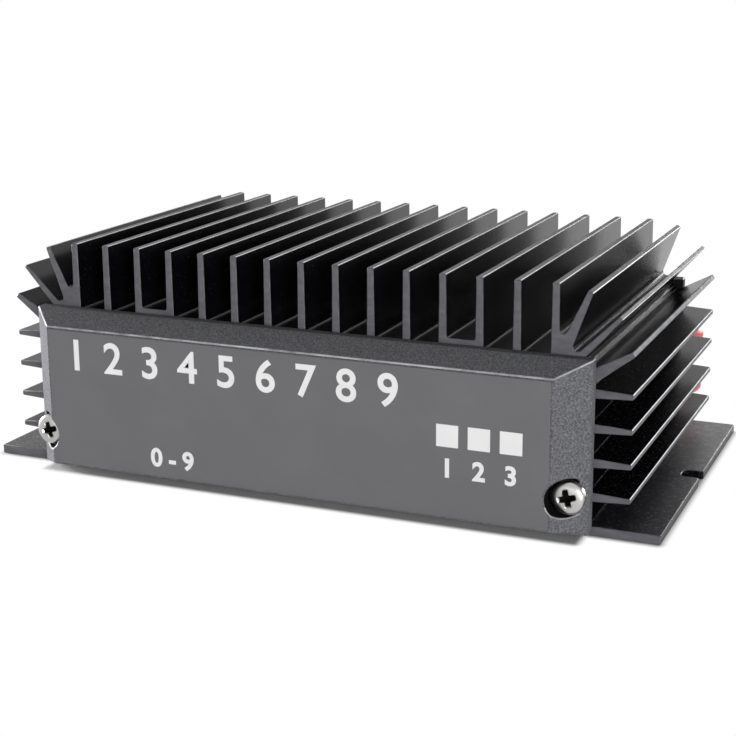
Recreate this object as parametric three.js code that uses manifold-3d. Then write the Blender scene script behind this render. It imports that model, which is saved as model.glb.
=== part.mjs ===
// HF linear amplifier: finned heatsink case with bevelled end covers, coax sockets, a supply lead and the
// electronics inside. Millimetres, +X right seen from the front, +Y to the rear, +Z up.
// Pieces are drawn with y = 0 at the front end of the heatsink and x = 0 in its middle, and the whole is
// shifted along Y at the end, so that its origin lies under the middle of the case and its sockets.

import * as THREE from "three";
import { mergeVertices } from "three/addons/utils/BufferGeometryUtils.js";
import Module from "manifold-3d";

const wasm = await Module();
wasm.setup();

// Gaps between pieces, and how far a cut runs past the faces it goes through.
const seatGap = 0.05;
const fitGap = 0.3;
const buttGap = 0.3;
const cutOverrun = 1;

// Outline points lie on this fine grid, so that those on one wall stay exactly in line.
const outlineGrid = 0.001;

// Facets of round shapes.
const facets = { hexagon: 6, wire: 8, small: 12, medium: 20, large: 32, corner: 4 };

// The heatsink extrusion.
const heatsink = {
  length: 50.5,
  height: 32.94,
  floorZ: 23.45,
  landRise: 1.0,
  landChannels: [2, 11],
  roofZ: 20.7,
  wallOuterX: 40.4,
  wallThick: 2.2,
  flangeReachX: 50,
  flangeThick: 1.3,
  flangeRootRadius: 0.5,
  roofCornerRadius: 1.2,
};
const uprightFin = { count: 15, pitch: 5.08, tipThick: 0.92, rootThick: 1.12, rootRadius: 0.35 };
const levelFin = {
  count: 4,
  pitch: 4.6,
  topZ: 19.05,
  tipX: 45.9,
  tipThick: 0.7,
  rootThick: 1.3,
  rootRadius: 0.35,
};
const steepFin = {
  rootX: 37.3,
  rootZ: 25.5,
  angleDeg: 67.5,
  length: 7.2,
  rootThick: 1.45,
  tipThick: 0.7,
  valley: 0.53,
};
const middleFin = {
  rootX: 39.9,
  rootZ: 24.75,
  angleDeg: 46.5,
  length: 6.0,
  rootThick: 0.95,
  tipThick: 0.56,
  valley: 0.6,
};
const lowFin = {
  rootX: 41.39,
  rootZ: 21.8,
  angleDeg: 32.8,
  length: 5.22,
  rootThick: 1.6,
  tipThick: 0.7,
  valley: 1.19,
  wallRadius: 0.5,
};
const slantFins = [steepFin, middleFin, lowFin];
const mountingSlot = { width: 3.1, depth: 2.7, mouthRadius: 0.3, floorRadius: 1.1 };

// The end covers and their screws. The screws hold in ports that run the length of the heatsink.
const cover = {
  depth: 5.4,
  sideHeight: 1.6,
  outerHalfX: 41.05,
  bottomZ: 0.6,
  topZ: 23.8,
  faceHalfX: 37.1,
  faceBottomZ: 1.76,
  faceTopZ: 22.0,
  wall: 1.6,
};
const coverScrew = {
  x: 38.7,
  z: 6.1,
  headRadius: 2.2,
  headHeight: 1.5,
  headRim: 0.8,
  domeFlatShare: 0.55,
  domeShoulderShare: 0.86,
  shankRadius: 0.9,
  shankLength: 9,
  counterboreRadius: 2.6,
  seatThick: 2.5,
  columnWall: 1.0,
};
const screwPort = { clearance: 0.2, wall: 1.2, outerSkin: 0.5 };
const recess = { span: 2.6, slotWidth: 0.62, depth: 0.9 };
const label = { thick: 0.19, edgeInset: 0.3, screwMargin: 0.2 };

// The plate that closes the underside, and the grooves that it slides into.
const basePlate = { thick: 1.5, grooveDepth: 1.2, grooveLipZ: 0.9, grooveClearance: 0.25, endGap: 0.3 };

// The two coax sockets on the rear cover.
const socket = {
  z: 12.2,
  flangeRadius: 9.3,
  flangeThick: 2.0,
  barrelRadius: 7.94,
  barrelLength: 13.6,
  boreRadius: 6.3,
  boreDepth: 12.6,
  stubRadius: 5.9,
  stubReach: 5.3,
  stubBoreRadius: 4.1,
  insulatorInset: 4.8,
  contactRadius: 2.7,
  contactBoreRadius: 1.95,
  contactBoreDepth: 8,
  contactInset: 4.4,
  cupRadius: 1.2,
  cupReach: 2.0,
  washerRadius: 7.6,
  washerThick: 0.5,
  nutRadius: 8.9,
  nutThick: 2.2,
};
const socketInset = { fromFaceEdge: 11.1, radioX: 2 };
const socketPlaces = { antenna: socketInset.fromFaceEdge - cover.faceHalfX, radio: socketInset.radioX };

// The grommet for the two supply wires, and the wires.
const grommet = {
  fromFaceEdge: 9.7,
  holeRadius: 3.6,
  rimRadius: 4.9,
  rimThick: 1.6,
  innerRimThick: 1.2,
  wireSpacing: 3.2,
};
const wire = { radius: 1.2, coreRadius: 0.75, tipLength: 6 };
const socketWire = { radius: 0.6, boardInset: 3.2 };

// The circuit board, with its spacers and screws, hung from the heatsink's roof.
const board = { halfX: 35, thick: 1.6, topZ: 8.2, endInset: 3.25 };
const spacer = { x: 22.86, endInset: 4.4, radius: 2.6, boreRadius: 1.4 };
const boardScrew = { headRadius: 2.2, headHeight: 1.5, shankRadius: 1.1, bite: 2.4, holeSpare: 0.3 };

// The power transistor, bolted flat under the roof.
const transistor = {
  x: -22.86,
  screwShare: 0.66,
  tabWidth: 10.2,
  tabLength: 15.5,
  tabThick: 1.3,
  holeInset: 2.8,
  padThick: 0.3,
  padMargin: 0.8,
  caseLength: 9.0,
  caseThick: 3.1,
  leadPitch: 2.54,
  leadWidth: 0.9,
  leadThick: 0.5,
  leadReach: 2.6,
};

// The relay, drawn about the middle of its base, with its hinge at the yoke's far edge.
const relay = {
  x: 8,
  placeShare: 0.61,
  baseX: 14,
  baseY: 10,
  baseThick: 1.2,
  caseWall: 0.6,
  caseGap: 0.15,
  caseHeight: 10.6,
  yokeThick: 0.8,
  yokeWidth: 6,
  yokeNearX: 3.4,
  yokeFarX: 5.0,
  poleZ: 7.2,
  coreRadius: 1.1,
  coilRadius: 3.0,
  coilGap: 0.2,
  armatureThick: 0.8,
  armatureReach: 8.2,
  armatureGap: 0.1,
  armatureRestDeg: 5,
  bladeThick: 0.3,
  bladeWidth: 2,
  bladeStart: 6,
  bladeReach: 10.9,
  buttonRadius: 0.6,
  buttonHeight: 0.5,
  buttonInset: 0.8,
  contactGap: 0.1,
  postThick: 0.8,
};

// The other components on the board. A place is the middle of the foot, as a share of the board's length.
const outputTransformer = {
  x: -8,
  placeShare: 0.56,
  sizeX: 10,
  sizeY: 14,
  sizeZ: 8,
  boreRadius: 1.7,
  boreSpacing: 5,
};
const inputTransformer = {
  x: -12,
  placeShare: 0.15,
  sizeX: 8,
  sizeY: 6,
  sizeZ: 5,
  boreRadius: 1.0,
  boreSpacing: 3.6,
};
const filterCoil = {
  firstX: -9,
  secondX: 11,
  placeShare: 0.88,
  turns: 5,
  pitch: 1.7,
  radius: 2.7,
  wireRadius: 0.45,
  stepsPerTurn: 10,
  sides: 5,
  legLength: 1.4,
};
const capacitor = {
  x: 8,
  placeShare: 0.25,
  radius: 4,
  height: 11,
  shoulderDrop: 0.6,
  grooveZ: 1.6,
  grooveDepth: 0.3,
};
const diode = { x: 17, placeShare: 0.25, radius: 2.2, length: 8, leadRadius: 0.5, leadReach: 2.4 };
const trimmer = {
  x: -2,
  placeShare: 0.15,
  size: 6,
  baseHeight: 3.2,
  rotorRadius: 2.2,
  rotorHeight: 1.0,
  wellDepth: 0.6,
};
const trimmerSlot = { length: 3.2, width: 0.6, depth: 0.5 };

// The coiled length of the leads: clockwise seen from above, in and out again in two layers each.
const leadCoil = {
  x: 6,
  y: 99,
  innerRadius: 9.5,
  pitch: 2.9,
  firstZ: 2.1,
  redTurns: 5.5,
  blackTurns: 6,
  tailLength: 12,
  stepsPerTurn: 24,
  sides: 6,
};
const leadTie = { width: 2.6, thick: 0.6, headSize: 3.6, headThick: 2.6 };

// Places that follow from the sizes above.
const rearFaceY = heatsink.length + seatGap + cover.depth;
const innerX = heatsink.wallOuterX - heatsink.wallThick;
const plateBottomZ = basePlate.grooveLipZ + basePlate.grooveClearance;
const plateTopZ = plateBottomZ + basePlate.thick;
const boardBottomZ = board.topZ - board.thick;
const boardNearY = board.endInset;
const boardFarY = heatsink.length - board.endInset;
const socketTipY = rearFaceY + seatGap + socket.flangeThick + socket.barrelLength;
const frontmostY = -(seatGap + cover.depth + seatGap + label.thick);
const grommetFaceY = rearFaceY + seatGap + grommet.rimThick;
const grommetX = cover.faceHalfX - grommet.fromFaceEdge;
const redX = grommetX + grommet.wireSpacing / 2;
const blackX = grommetX - grommet.wireSpacing / 2;
const wireZ = socket.z;
const onBoard = (share) => boardNearY + share * (boardFarY - boardNearY);
const relayY = onBoard(relay.placeShare);

const material = (color, roughness, metalness) =>
  new THREE.MeshStandardMaterial({ color, roughness, metalness });
const finish = {
  anodised: material(0x17171a, 0.45, 0.6),
  cover: material(0x4c4c50, 0.7, 0.1),
  label: material(0x5a5a60, 0.45, 0.0),
  plated: material(0xb9b9bc, 0.3, 0.9),
  brass: material(0xb08d4a, 0.35, 0.9),
  insulator: material(0xe9e6dc, 0.5, 0.0),
  blackRubber: material(0x141414, 0.8, 0.0),
  redWire: material(0xc4171c, 0.45, 0.0),
  blackWire: material(0x161616, 0.45, 0.0),
  fibreglass: material(0x1e5c38, 0.5, 0.0),
  blackPlastic: material(0x1b1b1c, 0.5, 0.0),
  mica: material(0xc9c3b0, 0.5, 0.0),
  iron: material(0x8d8f92, 0.4, 0.9),
  copper: material(0xb3693c, 0.35, 0.9),
  ferrite: material(0x3a3a3e, 0.7, 0.1),
  relayCase: material(0x2b2f36, 0.4, 0.0),
  sleeve: material(0x1f3552, 0.4, 0.0),
  tie: material(0xe8e8e4, 0.5, 0.0),
};

const assembly = new THREE.Group();

function addMesh(name, geometry, surface) {
  const mesh = new THREE.Mesh(geometry, surface);
  mesh.name = name;
  assembly.add(mesh);
  return mesh;
}

// Closed meshes to solids and back, for cuts and joins.
function toSolid(geometry) {
  const bare = geometry.clone();
  bare.deleteAttribute("normal");
  bare.deleteAttribute("uv");
  const merged = mergeVertices(bare);
  return new wasm.Manifold(new wasm.Mesh({
    numProp: 3,
    vertProperties: new Float32Array(merged.attributes.position.array),
    triVerts: new Uint32Array(merged.index.array),
  }));
}

function toGeometry(solid) {
  const mesh = solid.getMesh();
  const geometry = new THREE.BufferGeometry();
  geometry.setAttribute("position", new THREE.BufferAttribute(new Float32Array(mesh.vertProperties), 3));
  geometry.setIndex(new THREE.BufferAttribute(new Uint32Array(mesh.triVerts), 1));
  geometry.computeVertexNormals();
  return geometry;
}

const cut = (base, ...tools) =>
  toGeometry(tools.reduce((rest, tool) => rest.subtract(toSolid(tool)), toSolid(base)));
const join = (base, ...others) =>
  toGeometry(others.reduce((all, other) => all.add(toSolid(other)), toSolid(base)));

// A block between two corners.
function block([x0, x1], [y0, y1], [z0, z1]) {
  const box = new THREE.BoxGeometry(x1 - x0, y1 - y0, z1 - z0);
  return box.translate((x0 + x1) / 2, (y0 + y1) / 2, (z0 + z1) / 2);
}

// A block given by its middle in plan, its plan size and its height range.
const standingBlock = (x, y, sizeX, sizeY, heights) =>
  block([x - sizeX / 2, x + sizeX / 2], [y - sizeY / 2, y + sizeY / 2], heights);

// Cylinders between two places on an axis.
function cylinderZ(radius, x, y, [z0, z1], sides = facets.medium) {
  const shape = new THREE.CylinderGeometry(radius, radius, z1 - z0, sides).rotateX(Math.PI / 2);
  return shape.translate(x, y, (z0 + z1) / 2);
}

function cylinderY(radius, x, z, [y0, y1], sides = facets.medium) {
  return new THREE.CylinderGeometry(radius, radius, y1 - y0, sides).translate(x, (y0 + y1) / 2, z);
}

function cylinderX(radius, y, z, [x0, x1], sides = facets.medium) {
  const shape = new THREE.CylinderGeometry(radius, radius, x1 - x0, sides).rotateZ(Math.PI / 2);
  return shape.translate((x0 + x1) / 2, y, z);
}

// A turned piece: [radius, distance along the axis] pairs, closed on itself or ending on the axis.
const turned = (profile, sides) =>
  new THREE.LatheGeometry(profile.map(([r, h]) => new THREE.Vector2(r, h)), sides);
const ring = (innerRadius, outerRadius, [h0, h1], sides) => turned(
  [[innerRadius, h0], [outerRadius, h0], [outerRadius, h1], [innerRadius, h1], [innerRadius, h0]], sides);

// A flat outline in X and Z, pushed from y0 to y1.
function pushY(shape, [y0, y1]) {
  const solid = new THREE.ExtrudeGeometry(shape, { depth: y1 - y0, bevelEnabled: false });
  return solid.rotateX(Math.PI / 2).translate(0, y1, 0);
}

// Rectangles in X and Z stacked along Y and joined by flat sides.
function stackedRectangles(levels) {
  const positions = [];
  const corners = levels.map(({ y, halfX, z0, z1 }) => [
    [-halfX, y, z0],
    [halfX, y, z0],
    [halfX, y, z1],
    [-halfX, y, z1],
  ]);
  const quad = (a, b, c, d) => positions.push(...a, ...b, ...c, ...a, ...c, ...d);
  corners.slice(1).forEach((far, i) => {
    const near = corners[i];
    near.forEach((corner, k) => {
      const next = (k + 1) % near.length;
      quad(corner, far[k], far[next], near[next]);
    });
  });
  const [first, last] = [corners[0], corners[corners.length - 1]];
  quad(first[0], first[1], first[2], first[3]);
  quad(last[3], last[2], last[1], last[0]);
  const geometry = new THREE.BufferGeometry();
  geometry.setAttribute("position", new THREE.Float32BufferAttribute(positions, 3));
  return geometry;
}

// A closed outline whose corners with a radius become arcs. An arc is limited by its two walls.
function roundedOutline(corners) {
  const points = [];
  const wallShare = 0.48;
  corners.forEach(({ x, z, radius = 0 }, i) => {
    const corner = new THREE.Vector2(x, z);
    const before = corners[(i + corners.length - 1) % corners.length];
    const after = corners[(i + 1) % corners.length];
    const toBefore = new THREE.Vector2(before.x, before.z).sub(corner);
    const toAfter = new THREE.Vector2(after.x, after.z).sub(corner);
    const room = wallShare * Math.min(toBefore.length(), toAfter.length());
    toBefore.normalize();
    toAfter.normalize();
    const halfAngle = Math.acos(THREE.MathUtils.clamp(toBefore.dot(toAfter), -1, 1)) / 2;
    const fitted = Math.min(radius, room * Math.tan(halfAngle));
    if (fitted <= 0) {
      points.push(corner);
      return;
    }
    const toCentre = toBefore.clone().add(toAfter).normalize().multiplyScalar(fitted / Math.sin(halfAngle));
    const centre = corner.clone().add(toCentre);
    const start = corner.clone().addScaledVector(toBefore, fitted / Math.tan(halfAngle)).sub(centre);
    const end = corner.clone().addScaledVector(toAfter, fitted / Math.tan(halfAngle)).sub(centre);
    const sweep = Math.atan2(start.cross(end), start.dot(end));
    for (let step = 0; step <= facets.corner; step += 1) {
      const turn = start.angle() + (sweep * step) / facets.corner;
      const spoke = new THREE.Vector2(Math.cos(turn), Math.sin(turn)).multiplyScalar(fitted);
      points.push(centre.clone().add(spoke));
    }
  });
  const snapped = (value) => Math.round(value / outlineGrid) * outlineGrid;
  return new THREE.Shape(points.map(({ x, y }) => new THREE.Vector2(snapped(x), snapped(y))));
}

// The two sides of a tapered fin, from root to tip: near is the upper or left one.
function finSides({ rootX, rootZ, angleDeg, length, rootThick, tipThick }) {
  const along = new THREE.Vector2(1, 0).rotateAround(new THREE.Vector2(), THREE.MathUtils.degToRad(angleDeg));
  const across = new THREE.Vector2(-along.y, along.x);
  const root = new THREE.Vector2(rootX, rootZ);
  const tip = root.clone().addScaledVector(along, length);
  const side = (sign) => [
    root.clone().addScaledVector(across, (sign * rootThick) / 2),
    tip.clone().addScaledVector(across, (sign * tipThick) / 2),
  ];
  return { near: side(1), far: side(-1) };
}

// Where two lines cross, each given by two points.
function crossing([a, b], [c, d]) {
  const [ab, cd, ac] = [b.clone().sub(a), d.clone().sub(c), c.clone().sub(a)];
  return a.clone().addScaledVector(ab, ac.cross(cd) / ab.cross(cd));
}

// The heatsink's section, drawn clockwise from the first upright fin: fin row, right side, underside, left.
function heatsinkCorners() {
  const finX = (i) => (i - (uprightFin.count - 1) / 2) * uprightFin.pitch;
  const lastX = finX(uprightFin.count - 1);
  const landHeight = (channel) => (heatsink.landChannels.includes(channel) ? heatsink.landRise : 0);
  const halfRoot = uprightFin.rootThick / 2;
  const halfTip = uprightFin.tipThick / 2;
  const rootCorner = (x, channel) =>
    ({ x, z: heatsink.floorZ + landHeight(channel), radius: uprightFin.rootRadius });
  const row = [];
  for (let i = 0; i < uprightFin.count; i += 1) {
    if (i > 0) row.push(rootCorner(finX(i) - halfRoot, i - 1));
    row.push({ x: finX(i) - halfTip, z: heatsink.height }, { x: finX(i) + halfTip, z: heatsink.height });
    if (i < uprightFin.count - 1) row.push(rootCorner(finX(i) + halfRoot, i));
  }
  const right = [];
  let openSide = [
    new THREE.Vector2(lastX + halfRoot, heatsink.floorZ),
    new THREE.Vector2(lastX + halfTip, heatsink.height),
  ];
  slantFins.forEach((fin) => {
    const sides = finSides(fin);
    const valley = crossing(openSide, sides.near);
    right.push({ x: valley.x, z: valley.y, radius: fin.valley });
    right.push({ x: sides.near[1].x, z: sides.near[1].y }, { x: sides.far[1].x, z: sides.far[1].y });
    openSide = sides.far;
  });
  const wallLine = [0, heatsink.height].map((z) => new THREE.Vector2(heatsink.wallOuterX, z));
  const slantFoot = crossing(openSide, wallLine);
  right.push({ x: slantFoot.x, z: slantFoot.y, radius: lowFin.wallRadius });
  for (let i = 0; i < levelFin.count; i += 1) {
    const z = levelFin.topZ - i * levelFin.pitch;
    const [rootHalf, tipHalf] = [levelFin.rootThick / 2, levelFin.tipThick / 2];
    right.push({ x: heatsink.wallOuterX, z: z + rootHalf, radius: levelFin.rootRadius });
    right.push({ x: levelFin.tipX, z: z + tipHalf }, { x: levelFin.tipX, z: z - tipHalf });
    right.push({ x: heatsink.wallOuterX, z: z - rootHalf, radius: levelFin.rootRadius });
  }
  const grooveX = innerX + basePlate.grooveDepth;
  const grooveTopZ = plateTopZ + basePlate.grooveClearance;
  right.push(
    { x: heatsink.wallOuterX, z: heatsink.flangeThick, radius: heatsink.flangeRootRadius },
    { x: heatsink.flangeReachX, z: heatsink.flangeThick },
    { x: heatsink.flangeReachX, z: 0 },
    { x: innerX, z: 0 },
    { x: innerX, z: basePlate.grooveLipZ },
    { x: grooveX, z: basePlate.grooveLipZ },
    { x: grooveX, z: grooveTopZ },
    { x: innerX, z: grooveTopZ },
    { x: innerX, z: heatsink.roofZ, radius: heatsink.roofCornerRadius },
  );
  const left = right.map((corner) => ({ ...corner, x: -corner.x })).reverse();
  return [...row, ...right, ...left];
}

// The open slot in each flange.
function slotTool(side) {
  const mouthX = heatsink.flangeReachX;
  const floorX = mouthX - mountingSlot.depth;
  const half = mountingSlot.width / 2;
  const middleY = heatsink.length / 2;
  const outline = new THREE.Shape();
  outline.moveTo(mouthX + cutOverrun, middleY - half - mountingSlot.mouthRadius);
  outline.lineTo(mouthX, middleY - half - mountingSlot.mouthRadius);
  outline.quadraticCurveTo(mouthX, middleY - half, mouthX - mountingSlot.mouthRadius, middleY - half);
  outline.lineTo(floorX + mountingSlot.floorRadius, middleY - half);
  outline.quadraticCurveTo(floorX, middleY - half, floorX, middleY - half + mountingSlot.floorRadius);
  outline.lineTo(floorX, middleY + half - mountingSlot.floorRadius);
  outline.quadraticCurveTo(floorX, middleY + half, floorX + mountingSlot.floorRadius, middleY + half);
  outline.lineTo(mouthX - mountingSlot.mouthRadius, middleY + half);
  outline.quadraticCurveTo(mouthX, middleY + half, mouthX, middleY + half + mountingSlot.mouthRadius);
  outline.lineTo(mouthX + cutOverrun, middleY + half + mountingSlot.mouthRadius);
  const tool = new THREE.ExtrudeGeometry(outline, {
    depth: heatsink.flangeThick + cutOverrun * 2,
    bevelEnabled: false,
    curveSegments: facets.corner,
  }).translate(0, 0, -cutOverrun);
  return side > 0 ? tool : tool.rotateZ(Math.PI).translate(0, heatsink.length, 0);
}

const spacerPlaces = [-1, 1].flatMap((side) => [
  { name: side < 0 ? "front_left" : "front_right", x: side * spacer.x, y: boardNearY + spacer.endInset },
  { name: side < 0 ? "rear_left" : "rear_right", x: side * spacer.x, y: boardFarY - spacer.endInset },
]);

function buildHeatsink() {
  const full = [-cutOverrun, heatsink.length + cutOverrun];
  const section = pushY(roundedOutline(heatsinkCorners()), [0, heatsink.length]);
  const portRadius = coverScrew.shankRadius + screwPort.clearance;
  const lumpRadius = portRadius + screwPort.wall;
  const lumpSpan = [coverScrew.z - lumpRadius - cutOverrun, coverScrew.z + lumpRadius + cutOverrun];
  const skinX = heatsink.wallOuterX - screwPort.outerSkin;
  const lumps = [-1, 1].map((side) => {
    const beyond = [side * skinX, side * (skinX + lumpRadius * 2)].sort((a, b) => a - b);
    return cut(
      cylinderY(lumpRadius, side * coverScrew.x, coverScrew.z, [0, heatsink.length]),
      block(beyond, full, lumpSpan));
  });
  const bores = [-1, 1].map((side) =>
    cylinderY(portRadius, side * coverScrew.x, coverScrew.z, full, facets.small));
  const holeTopZ = heatsink.roofZ + boardScrew.bite + boardScrew.holeSpare;
  const tappedHole = (x, y) => cylinderZ(
    boardScrew.shankRadius + fitGap, x, y, [heatsink.roofZ - cutOverrun, holeTopZ], facets.small);
  const tapped = spacerPlaces.map(({ x, y }) => tappedHole(x, y));
  const body = cut(
    join(section, ...lumps),
    ...bores,
    ...tapped,
    tappedHole(transistor.x, onBoard(transistor.screwShare)),
    slotTool(-1),
    slotTool(1),
  );
  addMesh("heatsink_body", body, finish.anodised);
}

function buildBasePlate() {
  const halfX = innerX + basePlate.grooveDepth - basePlate.grooveClearance;
  const ySpan = [basePlate.endGap, heatsink.length - basePlate.endGap];
  addMesh("base_plate", block([-halfX, halfX], ySpan, [plateBottomZ, plateTopZ]), finish.anodised);
}

// One end cover with its rim at y = 0 and its face towards -Y: a bevelled shell with two screw columns.
function coverShell() {
  const rim = (inset) => ({
    halfX: cover.outerHalfX - inset,
    z0: cover.bottomZ + inset,
    z1: cover.topZ - inset,
  });
  const face = (inset) => ({
    halfX: cover.faceHalfX - inset,
    z0: cover.faceBottomZ + inset,
    z1: cover.faceTopZ - inset,
  });
  const outer = stackedRectangles([
    { y: -cover.depth, ...face(0) },
    { y: -cover.sideHeight, ...rim(0) },
    { y: 0, ...rim(0) },
  ]);
  const hollow = stackedRectangles([
    { y: cover.wall - cover.depth, ...face(cover.wall) },
    { y: -cover.sideHeight, ...rim(cover.wall) },
    { y: cutOverrun, ...rim(cover.wall) },
  ]);
  const atScrews = (radius, ySpan, sides) => [-1, 1].map((side) =>
    cylinderY(radius, side * coverScrew.x, coverScrew.z, ySpan, sides));
  const columnRadius = coverScrew.counterboreRadius + coverScrew.columnWall;
  const columns = atScrews(columnRadius, [-cover.depth - cutOverrun, cutOverrun * 2], facets.large);
  const counterbores = atScrews(
    coverScrew.counterboreRadius, [-cover.depth - cutOverrun, -coverScrew.seatThick], facets.large);
  const holes = atScrews(coverScrew.shankRadius + fitGap, [-cover.depth, cutOverrun], facets.small);
  return cut(outer, cut(hollow, ...columns), ...counterbores, ...holes);
}

// A pan-head screw pointing along +Y, with the underside of its head at y = 0.
function coverScrewShape() {
  const { headRadius, headHeight, shankRadius, shankLength } = coverScrew;
  const head = turned([
    [0, -headHeight],
    [headRadius * coverScrew.domeFlatShare, -headHeight],
    [headRadius * coverScrew.domeShoulderShare, -headHeight * coverScrew.domeShoulderShare],
    [headRadius, -coverScrew.headRim],
    [headRadius, 0],
    [shankRadius, 0],
    [shankRadius, shankLength - shankRadius],
    [0, shankLength],
  ], facets.medium);
  const slotSpan = [-headHeight - cutOverrun, recess.depth - headHeight];
  const slot = (width, height) => block([-width / 2, width / 2], slotSpan, [-height / 2, height / 2]);
  return cut(head, slot(recess.span, recess.slotWidth), slot(recess.slotWidth, recess.span));
}

function buildFrontEnd() {
  addMesh("front_cover", coverShell().translate(0, -seatGap, 0), finish.cover);
  const halfX = cover.faceHalfX - label.edgeInset;
  const backY = -(seatGap + cover.depth + seatGap);
  const plate = block(
    [-halfX, halfX], [backY - label.thick, backY],
    [cover.faceBottomZ + label.edgeInset, cover.faceTopZ - label.edgeInset]);
  const cornerCuts = [-1, 1].map((side) => cylinderY(
    coverScrew.counterboreRadius + label.screwMargin, side * coverScrew.x, coverScrew.z,
    [backY - label.thick - cutOverrun, backY + cutOverrun], facets.large));
  addMesh("front_label", cut(plate, ...cornerCuts), finish.label);
  [-1, 1].forEach((side) => {
    const screw = coverScrewShape();
    screw.translate(side * coverScrew.x, -seatGap - coverScrew.seatThick - seatGap, coverScrew.z);
    addMesh(`front_cover_screw_${side < 0 ? "left" : "right"}`, screw, finish.plated);
  });
}

function buildRearEnd() {
  const turnedRound = (geometry) => geometry.rotateZ(Math.PI).translate(0, heatsink.length + seatGap, 0);
  const holeSpan = [heatsink.length, rearFaceY + cutOverrun];
  const socketHoles = Object.values(socketPlaces).map((x) =>
    cylinderY(socket.stubRadius + fitGap, x, socket.z, holeSpan, facets.large));
  const wireHole = cylinderY(grommet.holeRadius, grommetX, wireZ, holeSpan, facets.large);
  addMesh("rear_cover", cut(turnedRound(coverShell()), ...socketHoles, wireHole), finish.cover);
  [-1, 1].forEach((side) => {
    const screw = coverScrewShape().rotateZ(Math.PI);
    const headY = heatsink.length + seatGap + coverScrew.seatThick + seatGap;
    screw.translate(side * coverScrew.x, headY, coverScrew.z);
    addMesh(`rear_cover_screw_${side < 0 ? "left" : "right"}`, screw, finish.plated);
  });
}

// One coax socket at x. Distances along its axis are counted outwards from the cover's outer face.
function buildSocket(name, x) {
  const place = (geometry) => geometry.translate(x, rearFaceY, socket.z);
  const flangeTop = seatGap + socket.flangeThick;
  const tip = flangeTop + socket.barrelLength;
  const boreFloor = tip - socket.boreDepth;
  const stubEnd = -socket.stubReach;
  addMesh(`${name}_socket_shell`, place(turned([
    [socket.boreRadius, tip],
    [socket.boreRadius, boreFloor],
    [socket.stubBoreRadius, boreFloor],
    [socket.stubBoreRadius, stubEnd],
    [socket.stubRadius, stubEnd],
    [socket.stubRadius, seatGap],
    [socket.flangeRadius, seatGap],
    [socket.flangeRadius, flangeTop],
    [socket.barrelRadius, flangeTop],
    [socket.barrelRadius, tip],
    [socket.boreRadius, tip],
  ], facets.large)), finish.plated);

  const contactHole = socket.contactRadius + fitGap;
  const cupHole = socket.cupRadius + fitGap;
  const insulatorTip = tip - socket.insulatorInset;
  const contactTip = tip - socket.contactInset;
  const contactFoot = contactTip - socket.contactBoreDepth - socket.cupRadius;
  addMesh(`${name}_socket_insulator`, place(turned([
    [contactHole, insulatorTip],
    [contactHole, contactFoot - fitGap],
    [cupHole, contactFoot - fitGap],
    [cupHole, stubEnd],
    [socket.stubBoreRadius - fitGap, stubEnd],
    [socket.stubBoreRadius - fitGap, boreFloor + seatGap],
    [socket.boreRadius - fitGap, boreFloor + seatGap],
    [socket.boreRadius - fitGap, insulatorTip],
    [contactHole, insulatorTip],
  ], facets.medium)), finish.insulator);

  addMesh(`${name}_socket_contact`, place(turned([
    [0, contactTip - socket.contactBoreDepth],
    [socket.contactBoreRadius, contactTip - socket.contactBoreDepth],
    [socket.contactBoreRadius, contactTip],
    [socket.contactRadius, contactTip],
    [socket.contactRadius, contactFoot],
    [socket.cupRadius, contactFoot],
    [socket.cupRadius, stubEnd - socket.cupReach],
    [0, stubEnd - socket.cupReach],
  ].reverse(), facets.medium)), finish.brass);

  const washerTop = -cover.wall - seatGap;
  const washerFoot = washerTop - socket.washerThick;
  const innerRadius = socket.stubRadius + fitGap;
  addMesh(`${name}_socket_washer`,
    place(ring(innerRadius, socket.washerRadius, [washerFoot, washerTop], facets.medium)), finish.plated);
  const nutTop = washerFoot - seatGap;
  const nutFoot = nutTop - socket.nutThick;
  const nutBody = cylinderY(socket.nutRadius, 0, 0, [nutFoot, nutTop], facets.hexagon);
  const nutBore = cylinderY(innerRadius, 0, 0, [nutFoot - cutOverrun, nutTop + cutOverrun]);
  const nut = cut(nutBody.rotateY(Math.PI / facets.hexagon), nutBore);
  addMesh(`${name}_socket_nut`, place(nut), finish.plated);
}

function buildGrommet() {
  const wallInner = rearFaceY - cover.wall;
  const body = turned([
    [0, wallInner - seatGap - grommet.innerRimThick],
    [grommet.rimRadius, wallInner - seatGap - grommet.innerRimThick],
    [grommet.rimRadius, wallInner - seatGap],
    [grommet.holeRadius - fitGap, wallInner - seatGap],
    [grommet.holeRadius - fitGap, rearFaceY + seatGap],
    [grommet.rimRadius, rearFaceY + seatGap],
    [grommet.rimRadius, grommetFaceY],
    [0, grommetFaceY],
  ], facets.medium);
  body.translate(grommetX, 0, wireZ);
  const holes = [redX, blackX].map((x) =>
    cylinderY(wire.radius + fitGap, x, wireZ, [heatsink.length, grommetFaceY + cutOverrun], facets.small));
  addMesh("cable_grommet", cut(body, ...holes), finish.blackRubber);
}

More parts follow.
